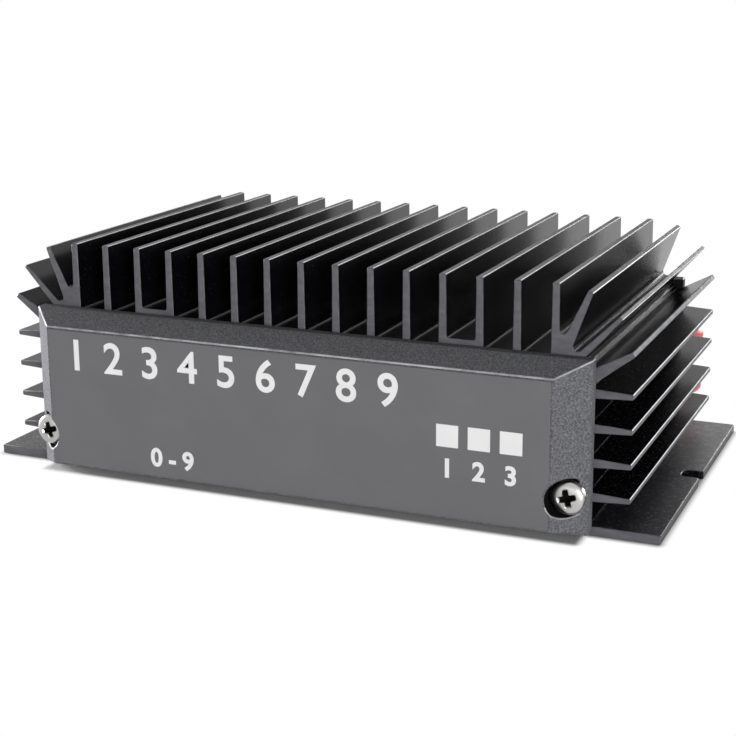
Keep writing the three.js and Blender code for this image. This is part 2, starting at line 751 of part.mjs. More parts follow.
function buildBoard() {
  const plate = block([-board.halfX, board.halfX], [boardNearY, boardFarY], [boardBottomZ, board.topZ]);
  const through = [boardBottomZ - cutOverrun, board.topZ + cutOverrun];
  const holes = spacerPlaces.map(({ x, y }) =>
    cylinderZ(boardScrew.shankRadius + fitGap, x, y, through, facets.small));
  addMesh("circuit_board", cut(plate, ...holes), finish.fibreglass);

  spacerPlaces.forEach(({ name, x, y }) => {
    const [z0, z1] = [board.topZ + seatGap, heatsink.roofZ - seatGap];
    const tube = cut(
      cylinderZ(spacer.radius, x, y, [z0, z1], facets.hexagon),
      cylinderZ(spacer.boreRadius, x, y, [z0 - cutOverrun, z1 + cutOverrun], facets.small));
    addMesh(`board_spacer_${name}`, tube, finish.brass);

    const headTop = boardBottomZ - seatGap;
    const slotSize = recess.span / 2;
    const shape = cut(
      join(
        cylinderZ(boardScrew.headRadius, x, y, [headTop - boardScrew.headHeight, headTop]),
        cylinderZ(boardScrew.shankRadius, x, y,
          [headTop - boardScrew.headHeight / 2, heatsink.roofZ + boardScrew.bite], facets.small)),
      ...[[recess.slotWidth / 2, slotSize], [slotSize, recess.slotWidth / 2]].map(([halfX, halfY]) => block(
        [x - halfX, x + halfX], [y - halfY, y + halfY],
        [headTop - boardScrew.headHeight - cutOverrun, headTop - boardScrew.headHeight + recess.depth])));
    addMesh(`board_screw_${name}`, shape, finish.plated);
  });
}

function buildTransistor() {
  const { x } = transistor;
  const screwY = onBoard(transistor.screwShare);
  const padTop = heatsink.roofZ - seatGap;
  const tabTop = padTop - transistor.padThick - seatGap;
  const tabBottom = tabTop - transistor.tabThick;
  const tabFarY = screwY + transistor.holeInset;
  const tabNearY = tabFarY - transistor.tabLength;
  const holeRadius = boardScrew.shankRadius + fitGap;
  const halfWidth = transistor.tabWidth / 2;
  const through = [tabBottom - cutOverrun, padTop + cutOverrun];
  const screwHole = cylinderZ(holeRadius, x, screwY, through, facets.small);
  const margin = transistor.padMargin;

  const pad = block(
    [x - halfWidth - margin, x + halfWidth + margin], [tabNearY - margin, tabFarY + margin],
    [padTop - transistor.padThick, padTop]);
  addMesh("transistor_pad", cut(pad, screwHole), finish.mica);
  const tab = block([x - halfWidth, x + halfWidth], [tabNearY, tabFarY], [tabBottom, tabTop]);
  addMesh("transistor_tab", cut(tab, screwHole), finish.plated);

  const caseTop = tabBottom - seatGap;
  const caseBottom = caseTop - transistor.caseThick;
  const leadTop = caseTop - transistor.caseThick / 2;
  const leadEndY = tabNearY - transistor.leadReach;
  const leads = [-1, 0, 1].flatMap((k) => {
    const leadX = x + k * transistor.leadPitch;
    const span = [leadX - transistor.leadWidth / 2, leadX + transistor.leadWidth / 2];
    return [
      block(span, [leadEndY, tabNearY + transistor.leadThick], [leadTop - transistor.leadThick, leadTop]),
      block(span, [leadEndY, leadEndY + transistor.leadThick], [board.topZ + seatGap, leadTop]),
    ];
  });
  const moulding = block(
    [x - halfWidth, x + halfWidth], [tabNearY, tabNearY + transistor.caseLength], [caseBottom, caseTop]);
  addMesh("transistor_case", join(moulding, ...leads), finish.blackPlastic);

  const headTop = tabBottom - seatGap;
  const screw = join(
    cylinderZ(boardScrew.headRadius, x, screwY, [headTop - boardScrew.headHeight, headTop]),
    cylinderZ(boardScrew.shankRadius, x, screwY,
      [headTop - boardScrew.headHeight / 2, heatsink.roofZ + boardScrew.bite], facets.small));
  addMesh("transistor_screw", screw, finish.plated);
}

// The relay. Its own x runs from the free end of the armature to the hinge, and z counts up from its foot.
const relayFootZ = board.topZ + seatGap;
const hinge = {
  x: relay.x + relay.yokeFarX,
  y: relayY,
  z: relayFootZ + relay.poleZ + relay.armatureGap,
};

function buildRelay() {
  const place = (geometry) => geometry.translate(relay.x, relayY, relayFootZ);
  const baseTop = relay.baseThick;
  const yokeFoot = baseTop + seatGap;
  const yokeFloorTop = yokeFoot + relay.yokeThick;
  const halfYoke = relay.yokeWidth / 2;
  addMesh("relay_base",
    place(standingBlock(0, 0, relay.baseX, relay.baseY, [0, baseTop])), finish.blackPlastic);

  const uprightNearX = relay.yokeFarX - relay.yokeThick;
  const yoke = join(
    block([-relay.yokeNearX, relay.yokeFarX], [-halfYoke, halfYoke], [yokeFoot, yokeFloorTop]),
    block([uprightNearX, relay.yokeFarX], [-halfYoke, halfYoke], [yokeFoot, relay.poleZ]),
    cylinderZ(relay.coreRadius, 0, 0, [yokeFoot + relay.yokeThick / 2, relay.poleZ], facets.small));
  addMesh("relay_yoke", place(yoke), finish.iron);

  const coil = ring(
    relay.coreRadius + fitGap, relay.coilRadius, [yokeFloorTop + relay.coilGap, relay.poleZ - relay.coilGap],
    facets.medium).rotateX(Math.PI / 2);
  addMesh("relay_coil", place(coil), finish.copper);

  const lifted = (geometry) => {
    geometry.rotateY(THREE.MathUtils.degToRad(relay.armatureRestDeg));
    return geometry.translate(hinge.x, hinge.y, hinge.z);
  };
  addMesh("relay_armature", lifted(
    block([-relay.armatureReach, 0], [-halfYoke, halfYoke], [0, relay.armatureThick])), finish.iron);
  const bladeFoot = relay.armatureThick + fitGap / 2;
  const buttonX = relay.buttonInset - relay.bladeReach;
  const blade = join(
    block(
      [-relay.bladeReach, -relay.bladeStart], [-relay.bladeWidth / 2, relay.bladeWidth / 2],
      [bladeFoot, bladeFoot + relay.bladeThick]),
    cylinderZ(relay.buttonRadius, buttonX, 0,
      [bladeFoot - relay.buttonHeight, bladeFoot + relay.bladeThick / 2], facets.small));
  addMesh("relay_moving_contact", lifted(blade), finish.brass);

  const contactTop = hinge.z + bladeFoot - relay.buttonHeight - relay.contactGap;
  const post = standingBlock(
    hinge.x + buttonX, hinge.y, relay.postThick, relay.bladeWidth,
    [relayFootZ + baseTop + seatGap, contactTop]);
  addMesh("relay_fixed_contact", post, finish.brass);

  const hollowX = relay.baseX + relay.caseGap * 2;
  const hollowY = relay.baseY + relay.caseGap * 2;
  const shell = standingBlock(
    0, 0, hollowX + relay.caseWall * 2, hollowY + relay.caseWall * 2, [fitGap, relay.caseHeight]);
  const hollow = standingBlock(0, 0, hollowX, hollowY, [-cutOverrun, relay.caseHeight - relay.caseWall]);
  addMesh("relay_case", place(cut(shell, hollow)), finish.relayCase);
}

// A ferrite block with two bores from front to back.
function buildTransformer(name, { x, placeShare, sizeX, sizeY, sizeZ, boreRadius, boreSpacing }) {
  const y = onBoard(placeShare);
  const foot = board.topZ + seatGap;
  const bores = [-1, 1].map((side) => cylinderY(
    boreRadius, x + (side * boreSpacing) / 2, foot + sizeZ / 2,
    [y - sizeY / 2 - cutOverrun, y + sizeY / 2 + cutOverrun], facets.small));
  addMesh(name, cut(standingBlock(x, y, sizeX, sizeY, [foot, foot + sizeZ]), ...bores), finish.ferrite);
}

// A round tube through a list of points, closed at both ends.
function tubeThrough(points, radius, sides) {
  const up = new THREE.Vector3(0, 0, 1);
  const rings = points.map((point, i) => {
    const before = points[Math.max(i - 1, 0)];
    const after = points[Math.min(i + 1, points.length - 1)];
    const along = after.clone().sub(before).normalize();
    const across = new THREE.Vector3().crossVectors(along, up).normalize();
    const below = new THREE.Vector3().crossVectors(along, across);
    return Array.from({ length: sides }, (_, k) => {
      const turn = (k / sides) * Math.PI * 2;
      return point.clone()
        .addScaledVector(across, Math.cos(turn) * radius)
        .addScaledVector(below, Math.sin(turn) * radius);
    });
  });
  const ends = [points[0], points[points.length - 1]];
  const positions = [...rings.flat(), ...ends].flatMap((p) => [p.x, p.y, p.z]);
  const index = [];
  const firstCentre = rings.length * sides;
  for (let k = 0; k < sides; k += 1) {
    const next = (k + 1) % sides;
    for (let i = 0; i + 1 < rings.length; i += 1) {
      const [a, b] = [i * sides + k, i * sides + next];
      const [c, d] = [a + sides, b + sides];
      index.push(a, b, d, a, d, c);
    }
    const lastRing = (rings.length - 1) * sides;
    index.push(firstCentre, next, k, firstCentre + 1, lastRing + k, lastRing + next);
  }
  const geometry = new THREE.BufferGeometry();
  geometry.setAttribute("position", new THREE.Float32BufferAttribute(positions, 3));
  geometry.setIndex(index);
  return geometry;
}

// The least gap of a wound tube to itself, measured between points over a turn apart along the tube.
function leastGap(points, radius, neighbourReach) {
  let least = Infinity;
  points.forEach((point, i) => {
    for (let j = i + neighbourReach; j + 1 < points.length; j += 1) {
      const segment = new THREE.Line3(points[j], points[j + 1]);
      const nearest = segment.closestPointToPoint(point, true, new THREE.Vector3());
      least = Math.min(least, nearest.distanceTo(point));
    }
  });
  return least - radius * 2;
}

function buildFilterCoil(name, x) {
  const { turns, pitch, radius, wireRadius, stepsPerTurn, sides, legLength } = filterCoil;
  const y = onBoard(filterCoil.placeShare);
  const axisZ = board.topZ + fitGap + wireRadius + legLength + radius;
  const startX = x - (turns * pitch) / 2;
  const points = [];
  for (let k = 0; k <= turns * stepsPerTurn; k += 1) {
    const turn = (k / stepsPerTurn) * Math.PI * 2;
    points.push(new THREE.Vector3(
      startX + (pitch * k) / stepsPerTurn, y - Math.sin(turn) * radius, axisZ - Math.cos(turn) * radius));
  }
  const gap = leastGap(points, wireRadius, stepsPerTurn / 2);
  console.log(`${name}: least gap of the winding to itself ${gap.toFixed(2)} mm`);
  const foot = board.topZ + seatGap;
  const winding = tubeAcross(points, wireRadius, sides);
  const legs = [points[0], points[points.length - 1]].map((end) =>
    cylinderZ(wireRadius, end.x, end.y, [foot, end.z], sides));
  addMesh(name, join(winding, ...legs), finish.copper);
}

// The same tube for a winding whose axis lies along X.
function tubeAcross(points, radius, sides) {
  const laid = points.map((p) => new THREE.Vector3(p.z, p.y, -p.x));
  return tubeThrough(laid, radius, sides).rotateY(-Math.PI / 2);
}

function buildCapacitor() {
  const { x, placeShare, radius, height, shoulderDrop, grooveZ, grooveDepth } = capacitor;
  const foot = board.topZ + seatGap;
  const can = turned([
    [0, 0],
    [radius, 0],
    [radius, grooveZ - grooveDepth],
    [radius - grooveDepth, grooveZ],
    [radius, grooveZ + grooveDepth],
    [radius, height - shoulderDrop],
    [radius - shoulderDrop, height],
    [0, height],
  ], facets.medium).rotateX(Math.PI / 2);
  addMesh("electrolytic_capacitor", can.translate(x, onBoard(placeShare), foot), finish.sleeve);
}

function buildDiode() {
  const { x, placeShare, radius, length, leadRadius, leadReach } = diode;
  const y = onBoard(placeShare);
  const axisZ = board.topZ + fitGap + radius;
  const half = length / 2;
  const body = cylinderY(radius, x, axisZ, [y - half, y + half]);
  const lead = cylinderY(leadRadius, x, axisZ, [y - half - leadReach, y + half + leadReach], facets.small);
  const legs = [-1, 1].map((side) => cylinderZ(
    leadRadius, x, y + side * (half + leadReach - leadRadius),
    [board.topZ + seatGap, axisZ + leadRadius / 2], facets.small));
  addMesh("polarity_diode", join(body, lead, ...legs), finish.blackPlastic);
}

function buildTrimmer() {
  const { x, placeShare, size, baseHeight, rotorRadius, rotorHeight, wellDepth } = trimmer;
  const y = onBoard(placeShare);
  const foot = board.topZ + seatGap;
  const top = foot + baseHeight;
  const base = cut(
    standingBlock(x, y, size, size, [foot, top]),
    cylinderZ(rotorRadius + fitGap, x, y, [top - wellDepth, top + cutOverrun]));
  addMesh("trimmer_base", base, finish.blackPlastic);
  const rotorFoot = top - wellDepth + seatGap;
  const rotorTop = rotorFoot + rotorHeight;
  const slotHeights = [rotorTop - trimmerSlot.depth, rotorTop + cutOverrun];
  const rotor = cut(
    cylinderZ(rotorRadius, x, y, [rotorFoot, rotorTop]),
    standingBlock(x, y, trimmerSlot.length, trimmerSlot.width, slotHeights));
  addMesh("trimmer_rotor", rotor, finish.brass);
}

// A tube along a smooth curve through chosen points.
function curvedTube(points, radius, sides, step) {
  const path = new THREE.CatmullRomCurve3(points.map((p) => new THREE.Vector3(...p)), false, "centripetal");
  const section = new THREE.Shape(Array.from({ length: sides }, (_, k) => {
    const turn = (k / sides) * Math.PI * 2;
    return new THREE.Vector2(Math.cos(turn) * radius, Math.sin(turn) * radius);
  }));
  const steps = Math.ceil(path.getLength() / step);
  const tube = new THREE.ExtrudeGeometry(section, { steps, extrudePath: path, bevelEnabled: false });
  return { tube, length: path.getLength() };
}

// The supply wires inside the case, from the grommet's outer face to the board.
function buildInnerWires() {
  const lyingZ = board.topZ + fitGap + wire.radius;
  const bendY = heatsink.length + cover.wall;
  [["red_supply_wire", redX, finish.redWire], ["black_supply_wire", blackX, finish.blackWire]].forEach(
    ([name, x, surface]) => {
      const points = [
        [x, grommetFaceY, wireZ],
        [x, (grommetFaceY + bendY) / 2, wireZ],
        [x, bendY, wireZ],
        [x, (bendY + boardFarY) / 2, (wireZ + lyingZ) / 2],
        [x, boardFarY, lyingZ],
        [x, boardFarY - wire.radius, lyingZ],
      ];
      addMesh(name, curvedTube(points, wire.radius, facets.wire, wire.radius * 2).tube, surface);
    });
  const cupEndY = rearFaceY - socket.stubReach - socket.cupReach;
  const padZ = board.topZ + fitGap + socketWire.radius;
  Object.entries(socketPlaces).forEach(([name, x]) => {
    const points = [
      [x, cupEndY - buttGap, socket.z],
      [x, cupEndY - buttGap - socketWire.radius, socket.z],
      [x, boardFarY - socketWire.boardInset / 2, (socket.z + padZ) / 2],
      [x, boardFarY - socketWire.boardInset, padZ],
      [x, boardFarY - socketWire.boardInset - socketWire.radius * 2, padZ],
    ];
    addMesh(`${name}_socket_wire`,
      curvedTube(points, socketWire.radius, facets.wire, socketWire.radius * 2).tube, finish.plated);
  });
}

// The coiled part of a lead: it enters at the front, spirals in, climbs a layer in the half turn where the
// spiral reverses, spirals out and ends in a straight tail.
function coilPoints(turns, lowZ, highZ) {
  const { x, y, innerRadius, pitch, stepsPerTurn, tailLength } = leadCoil;
  const middle = turns / 2;
  const climbShare = 0.5;
  const at = (turn) => {
    const angle = turn * Math.PI * 2;
    const radius = innerRadius + pitch * Math.abs(turn - middle);
    const climbed = THREE.MathUtils.smoothstep(turn, middle - climbShare / 2, middle + climbShare / 2);
    return new THREE.Vector3(
      x - Math.sin(angle) * radius, y - Math.cos(angle) * radius, lowZ + (highZ - lowZ) * climbed);
  };
  const points = [];
  for (let k = 0; k <= turns * stepsPerTurn; k += 1) points.push(at(k / stepsPerTurn));
  const entry = points[0].clone().sub(points[1]).setZ(0).normalize();
  const last = points[points.length - 1];
  const exit = last.clone().sub(points[points.length - 2]).setZ(0).normalize();
  points.unshift(points[0].clone().addScaledVector(entry, wire.radius * 2));
  points.push(last.clone().addScaledVector(exit, tailLength));
  return points;
}

const layerRise = leadCoil.pitch;
const redCoil = coilPoints(leadCoil.redTurns, leadCoil.firstZ, leadCoil.firstZ + layerRise);
const blackCoil = coilPoints(
  leadCoil.blackTurns, leadCoil.firstZ + layerRise * 2, leadCoil.firstZ + layerRise * 3);

// The routes of the leads from the grommet to their coils, by hand. The red one makes a loop to the right.
const redRoute = [
  [29.0, 57.95, 12.2], [29.0, 60.4, 12.2], [29.3, 62.2, 12.2], [30.5, 64.0, 12.1], [32.3, 65.1, 11.9],
  [34.4, 65.4, 11.6], [37.4, 66.4, 11.1], [39.2, 68.8, 10.6], [39.2, 71.9, 9.9], [37.3, 74.6, 9.2],
  [34.2, 75.8, 8.4], [31.1, 74.8, 7.5], [29.2, 72.2, 6.6], [29.2, 69.2, 5.7], [31.0, 66.5, 4.7],
  [34.0, 65.4, 3.5], [37.1, 66.3, 2.3], [39.1, 68.7, 1.5], [39.2, 71.8, 1.25], [37.2, 74.7, 1.25],
  [34.0, 76.5, 1.25], [29.5, 77.6, 1.25], [25.0, 78.4, 1.3], [20.5, 79.2, 1.4], [16.5, 79.9, 1.6],
  [13.5, 80.3, 1.9],
];
const blackRoute = [
  [25.8, 57.95, 12.2], [25.8, 60.0, 12.2], [25.8, 62.0, 11.9], [25.7, 64.0, 11.3], [25.5, 66.0, 10.5],
  [25.2, 68.0, 9.7], [24.7, 70.0, 8.9], [24.0, 72.0, 8.3], [23.0, 73.9, 7.8], [21.7, 75.6, 7.5],
  [20.1, 77.0, 7.4], [18.3, 78.1, 7.5], [16.4, 78.9, 7.6], [14.6, 79.4, 7.8], [12.8, 79.8, 7.9],
];

// A lead's free stretch: the hand-chosen points, then straight into the start of its coil.
function buildLead(name, route, coil, surface) {
  const coilStart = coil[0];
  const entry = coil[0].clone().sub(coil[1]).normalize();
  const end = coilStart.clone().addScaledVector(entry, buttGap);
  const beforeEnd = end.clone().addScaledVector(entry, wire.radius * 2);
  const points = [...route, beforeEnd.toArray(), end.toArray()];
  const { tube, length } = curvedTube(points, wire.radius, facets.wire, wire.radius * 4);
  addMesh(name, tube, surface);
  addMesh(`${name}_coil`, tubeThrough(coil, wire.radius, leadCoil.sides), surface);
  const coiled = coil.slice(1).reduce((sum, point, i) => sum + point.distanceTo(coil[i]), 0);
  const gap = leastGap(coil, wire.radius, leadCoil.stepsPerTurn / 2);
  console.log(`${name}: ${length.toFixed(1)} mm free and ${coiled.toFixed(1)} mm coiled`);
  console.log(`${name}: least gap of the coil to itself ${gap.toFixed(2)} mm`);
  const tailEnd = coil[coil.length - 1];
  const outward = tailEnd.clone().sub(coil[coil.length - 2]).normalize();
  const tipStart = tailEnd.clone().addScaledVector(outward, buttGap);
  const tipEnd = tipStart.clone().addScaledVector(outward, wire.tipLength);
  addMesh(`${name}_tip`, tubeThrough([tipStart, tipEnd], wire.coreRadius, facets.wire), finish.plated);
}

// The tie round both coils on their left side.
function buildLeadTie() {
  const spare = fitGap;
  const outerRadius = leadCoil.innerRadius + (leadCoil.pitch * leadCoil.blackTurns) / 2 + wire.radius;
  const inside = {
    x0: leadCoil.x - outerRadius - spare,
    x1: leadCoil.x - (leadCoil.innerRadius - wire.radius - spare),
    z0: leadTie.thick,
    z1: leadCoil.firstZ + layerRise * 3 + wire.radius + spare,
  };
  const ySpan = [leadCoil.y - leadTie.width / 2, leadCoil.y + leadTie.width / 2];
  const band = block(
    [inside.x0 - leadTie.thick, inside.x1 + leadTie.thick], ySpan, [0, inside.z1 + leadTie.thick]);
  const window = block(
    [inside.x0, inside.x1], [ySpan[0] - cutOverrun, ySpan[1] + cutOverrun], [inside.z0, inside.z1]);
  const headMiddle = (inside.x0 + inside.x1) / 2;
  const head = standingBlock(
    headMiddle, leadCoil.y, leadTie.headSize, leadTie.headSize, [inside.z1, inside.z1 + leadTie.headThick]);
  addMesh("lead_tie", cut(join(band, head), window), finish.tie);
}

buildHeatsink();
buildBasePlate();
buildFrontEnd();
buildRearEnd();
Object.entries(socketPlaces).forEach(([name, x]) => buildSocket(name, x));
buildGrommet();
buildBoard();
buildTransistor();
buildRelay();
buildTransformer("output_transformer", outputTransformer);
buildTransformer("input_transformer", inputTransformer);
buildFilterCoil("filter_coil_1", filterCoil.firstX);
buildFilterCoil("filter_coil_2", filterCoil.secondX);
buildCapacitor();
buildDiode();
buildTrimmer();
buildInnerWires();
buildLead("red_lead", redRoute, redCoil, finish.redWire);
buildLead("black_lead", blackRoute, blackCoil, finish.blackWire);
buildLeadTie();

assembly.position.y = -(frontmostY + socketTipY) / 2;
const hingePlace = [hinge.x, hinge.y + assembly.position.y, hinge.z].map((value) => value.toFixed(3));
console.log(`shift along Y ${assembly.position.y.toFixed(4)} mm, relay hinge at ${hingePlace.join(", ")}`);

export default assembly;
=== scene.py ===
import math

import bmesh
import bpy
from mathutils import Matrix, Vector


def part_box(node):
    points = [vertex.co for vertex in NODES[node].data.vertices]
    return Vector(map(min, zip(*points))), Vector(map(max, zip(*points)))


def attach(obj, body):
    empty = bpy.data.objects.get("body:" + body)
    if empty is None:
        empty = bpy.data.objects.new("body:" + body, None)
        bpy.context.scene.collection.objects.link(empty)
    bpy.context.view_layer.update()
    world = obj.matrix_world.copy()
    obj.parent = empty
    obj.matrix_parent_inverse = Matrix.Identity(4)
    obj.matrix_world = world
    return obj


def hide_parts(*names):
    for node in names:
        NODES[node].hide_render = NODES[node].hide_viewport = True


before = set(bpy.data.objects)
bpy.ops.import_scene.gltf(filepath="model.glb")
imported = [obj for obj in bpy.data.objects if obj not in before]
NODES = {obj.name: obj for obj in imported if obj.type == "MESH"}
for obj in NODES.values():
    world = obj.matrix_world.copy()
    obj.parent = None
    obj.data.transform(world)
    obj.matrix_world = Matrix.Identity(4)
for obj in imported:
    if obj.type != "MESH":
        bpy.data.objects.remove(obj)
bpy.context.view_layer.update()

SAME_PLACE = 1e-7

# The camera, at the photograph's viewing angle.
SQUARE_IMAGE = 736
SENSOR = 36.0
CAMERA_PLACE = Vector((0.08921, -0.214735, 0.07395))
CAMERA_AZIMUTH = 21.7208
CAMERA_ELEVATION = 13.6733
FOCAL_PIXELS = 1542.68
AXIS_PIXEL = (416.98, 321.06)


def add_object(name, data):
    """Links a new object that shows the data."""
    made = bpy.data.objects.new(name, data)
    bpy.context.collection.objects.link(made)
    return made


def metres(rows):
    """Rows of numbers in millimetres, in metres, without the stray last digit of a division."""
    return [tuple(round(value / 1000, 9) for value in row) for row in rows]


def add_camera():
    """Places the camera and makes it the scene's own."""
    data = bpy.data.cameras.new("camera")
    camera = add_object("camera", data)
    azimuth = math.radians(CAMERA_AZIMUTH)
    elevation = math.radians(CAMERA_ELEVATION)
    back = Vector((
        math.sin(azimuth) * math.cos(elevation),
        -math.cos(azimuth) * math.cos(elevation),
        math.sin(elevation),
    ))
    camera.location = CAMERA_PLACE
    camera.rotation_euler = back.to_track_quat("Z", "Y").to_euler()
    data.sensor_width = SENSOR
    data.lens = FOCAL_PIXELS / SQUARE_IMAGE * SENSOR
    data.shift_x = (SQUARE_IMAGE / 2 - AXIS_PIXEL[0]) / SQUARE_IMAGE
    data.shift_y = (AXIS_PIXEL[1] - SQUARE_IMAGE / 2) / SQUARE_IMAGE
    data.clip_start = 0.01
    data.clip_end = 20.0
    bpy.context.scene.camera = camera


# Shader nodes, for the materials, the floor and the world.


def feed(tree, node, inputs):
    """Gives a node's inputs, by name or place, numbers and colours, or links other nodes' outputs to them."""
    for key, value in inputs.items():
        if isinstance(value, bpy.types.NodeSocket):
            tree.links.new(value, node.inputs[key])
        else:
            node.inputs[key].default_value = value


def add_node(tree, kind, inputs):
    """A new shader node with its inputs fed."""
    node = tree.nodes.new(f"ShaderNode{kind}")
    feed(tree, node, inputs)
    return node


def add_math(tree, operation, first, second, clamp=False):
    """A math node on two sockets or numbers; returns its result."""
    node = add_node(tree, "Math", {0: first, 1: second})
    node.operation = operation
    node.use_clamp = clamp
    return node.outputs["Value"]


def add_range(tree, value, low, high, from_low=0.0, from_high=1.0, smooth=False):
    """Spreads a value from its own range to low and high; returns the result."""
    node = add_node(tree, "MapRange", {
        "Value": value, "From Min": from_low, "From Max": from_high, "To Min": low, "To Max": high})
    node.interpolation_type = "SMOOTHSTEP" if smooth else "LINEAR"
    return node.outputs["Result"]


def seen_directly(tree):
    """One for what the camera sees, also in gloss and through glass, and nought for light on other things."""
    path = add_node(tree, "LightPath", {}).outputs
    seen = add_math(tree, "ADD", path["Is Camera Ray"], path["Is Glossy Ray"])
    return add_math(tree, "ADD", seen, path["Is Transmission Ray"], clamp=True)


def split_place(tree, kind):
    """The X, Y and Z of the coordinates of a kind."""
    coordinates = add_node(tree, "TexCoord", {})
    return add_node(tree, "SeparateXYZ", {"Vector": coordinates.outputs[kind]}).outputs


# Lights and floor.

ROOM_LIGHT_LEFT = 0.75
ROOM_LIGHT_RIGHT = 0.22
ROOM_LIGHT_ABOVE = 0.04
ROOM_TOP = 0.7
WHITE = (1.0, 1.0, 1.0, 1.0)

# Each lamp's place, the point that it faces, its width and height, and its power.
LAMPS = {
    "top_lamp": ((0.1, -0.1, 1.2), (0, 0, 0), (1.2, 1.2), 0.28),
    "front_lamp": ((0.0, -1.2, 0.06), (0, 0, 0.015), (1.0, 0.2), 1.0),
    "left_lamp": ((-0.75, 0.08, 0.10), (0, 0, 0.015), (0.25, 0.2), 12.5),
    "right_lamp": ((0.68, -0.73, 0.05), (0, 0, 0.015), (0.4, 0.2), 9.0),
    "rear_lamp": ((0.32, 1.00, 0.11), (0, 0, 0.02), (0.9, 0.18), 5.0),
}

# Where the floor keeps the shadows: under the case, and under the coiled lead behind it.
# Each has its middle, its half widths and the width of its soft rim.
SHADOW_AREAS = (
    ((0.0, -0.0077), (0.0495, 0.0250), 0.0015),
    ((0.0, -0.0070), (0.0395, 0.0292), 0.0015),
    ((0.004, 0.057), (0.019, 0.024), 0.0080),
)
FLOOR_RADIUS = 3.0
FLOOR_SIDES = 96
FLOOR_COLOUR = (0.96, 0.96, 0.96, 1.0)


def add_world():
    """White where the camera, gloss or glass sees it; elsewhere a soft light, strongest from the left."""
    world = bpy.data.worlds.new("studio")
    bpy.context.scene.world = world
    world.use_nodes = True
    tree = world.node_tree
    tree.nodes.clear()
    direction = split_place(tree, "Generated")
    by_side = add_range(tree, direction["X"], ROOM_LIGHT_LEFT, ROOM_LIGHT_RIGHT, from_low=-1.0)
    by_height = add_range(tree, direction["Z"], by_side, ROOM_LIGHT_ABOVE, from_high=ROOM_TOP)
    strength = add_range(tree, seen_directly(tree), by_height, 1.0)
    background = add_node(tree, "Background", {"Color": WHITE, "Strength": strength})
    add_node(tree, "OutputWorld", {"Surface": background.outputs["Background"]})


def add_lights():
    """The studio's soft lamps: a wide one above, and low ones in front, at both sides and behind."""
    for name, (place, target, size, power) in LAMPS.items():
        data = bpy.data.lights.new(name, "AREA")
        data.shape = "RECTANGLE"
        data.size, data.size_y = size
        data.energy = power
        lamp = add_object(name, data)
        lamp.location = place
        direction = Vector(target) - Vector(place)
        lamp.rotation_euler = direction.to_track_quat("-Z", "Y").to_euler()
        lamp.visible_camera = False


def distance_outside(tree, place, middle, halves):
    """How far a place on the floor lies outside a rectangle."""
    squares = []
    for axis, centre, half in zip("XY", middle, halves):
        offset = add_math(tree, "ABSOLUTE", add_math(tree, "SUBTRACT", place[axis], centre), 0.0)
        beyond = add_math(tree, "MAXIMUM", add_math(tree, "SUBTRACT", offset, half), 0.0)
        squares.append(add_math(tree, "POWER", beyond, 2.0))
    return add_math(tree, "SQRT", add_math(tree, "ADD", *squares), 0.0)


def floor_white():
    """The floor's material: pale with the shadows near the object, plain white away from it."""
    material = bpy.data.materials.new("floor_white")
    material.use_nodes = True
    tree = material.node_tree
    tree.nodes.clear()
    place = split_place(tree, "Object")
    distances = [
        add_math(tree, "DIVIDE", distance_outside(tree, place, middle, halves), rim_width)
        for middle, halves, rim_width in SHADOW_AREAS
    ]
    away = distances[0]
    for distance in distances[1:]:
        away = add_math(tree, "MINIMUM", away, distance)
    fade = add_range(tree, away, 0.0, 1.0, smooth=True)
    mix = add_node(tree, "MixShader", {
        "Fac": add_math(tree, "MULTIPLY", fade, seen_directly(tree)),
        1: add_node(tree, "BsdfDiffuse", {"Color": FLOOR_COLOUR}).outputs["BSDF"],
        2: add_node(tree, "Emission", {"Color": WHITE}).outputs["Emission"],
    })
    add_node(tree, "OutputMaterial", {"Surface": mix.outputs["Shader"]})
    return material


def add_floor():
    """The round floor."""
    mesh = bpy.data.meshes.new("studio_floor")
    turns = [math.tau * k / FLOOR_SIDES for k in range(FLOOR_SIDES)]
    rim = [(math.cos(turn) * FLOOR_RADIUS, math.sin(turn) * FLOOR_RADIUS, 0.0) for turn in turns]
    mesh.from_pydata(rim, [], [list(range(FLOOR_SIDES))])
    mesh.materials.append(floor_white())
    add_object("studio_floor", mesh)


# Materials.

# The places of the Mix node's sockets for colours.
MIX_FIRST = 6
MIX_SECOND = 7
MIX_RESULT = 2


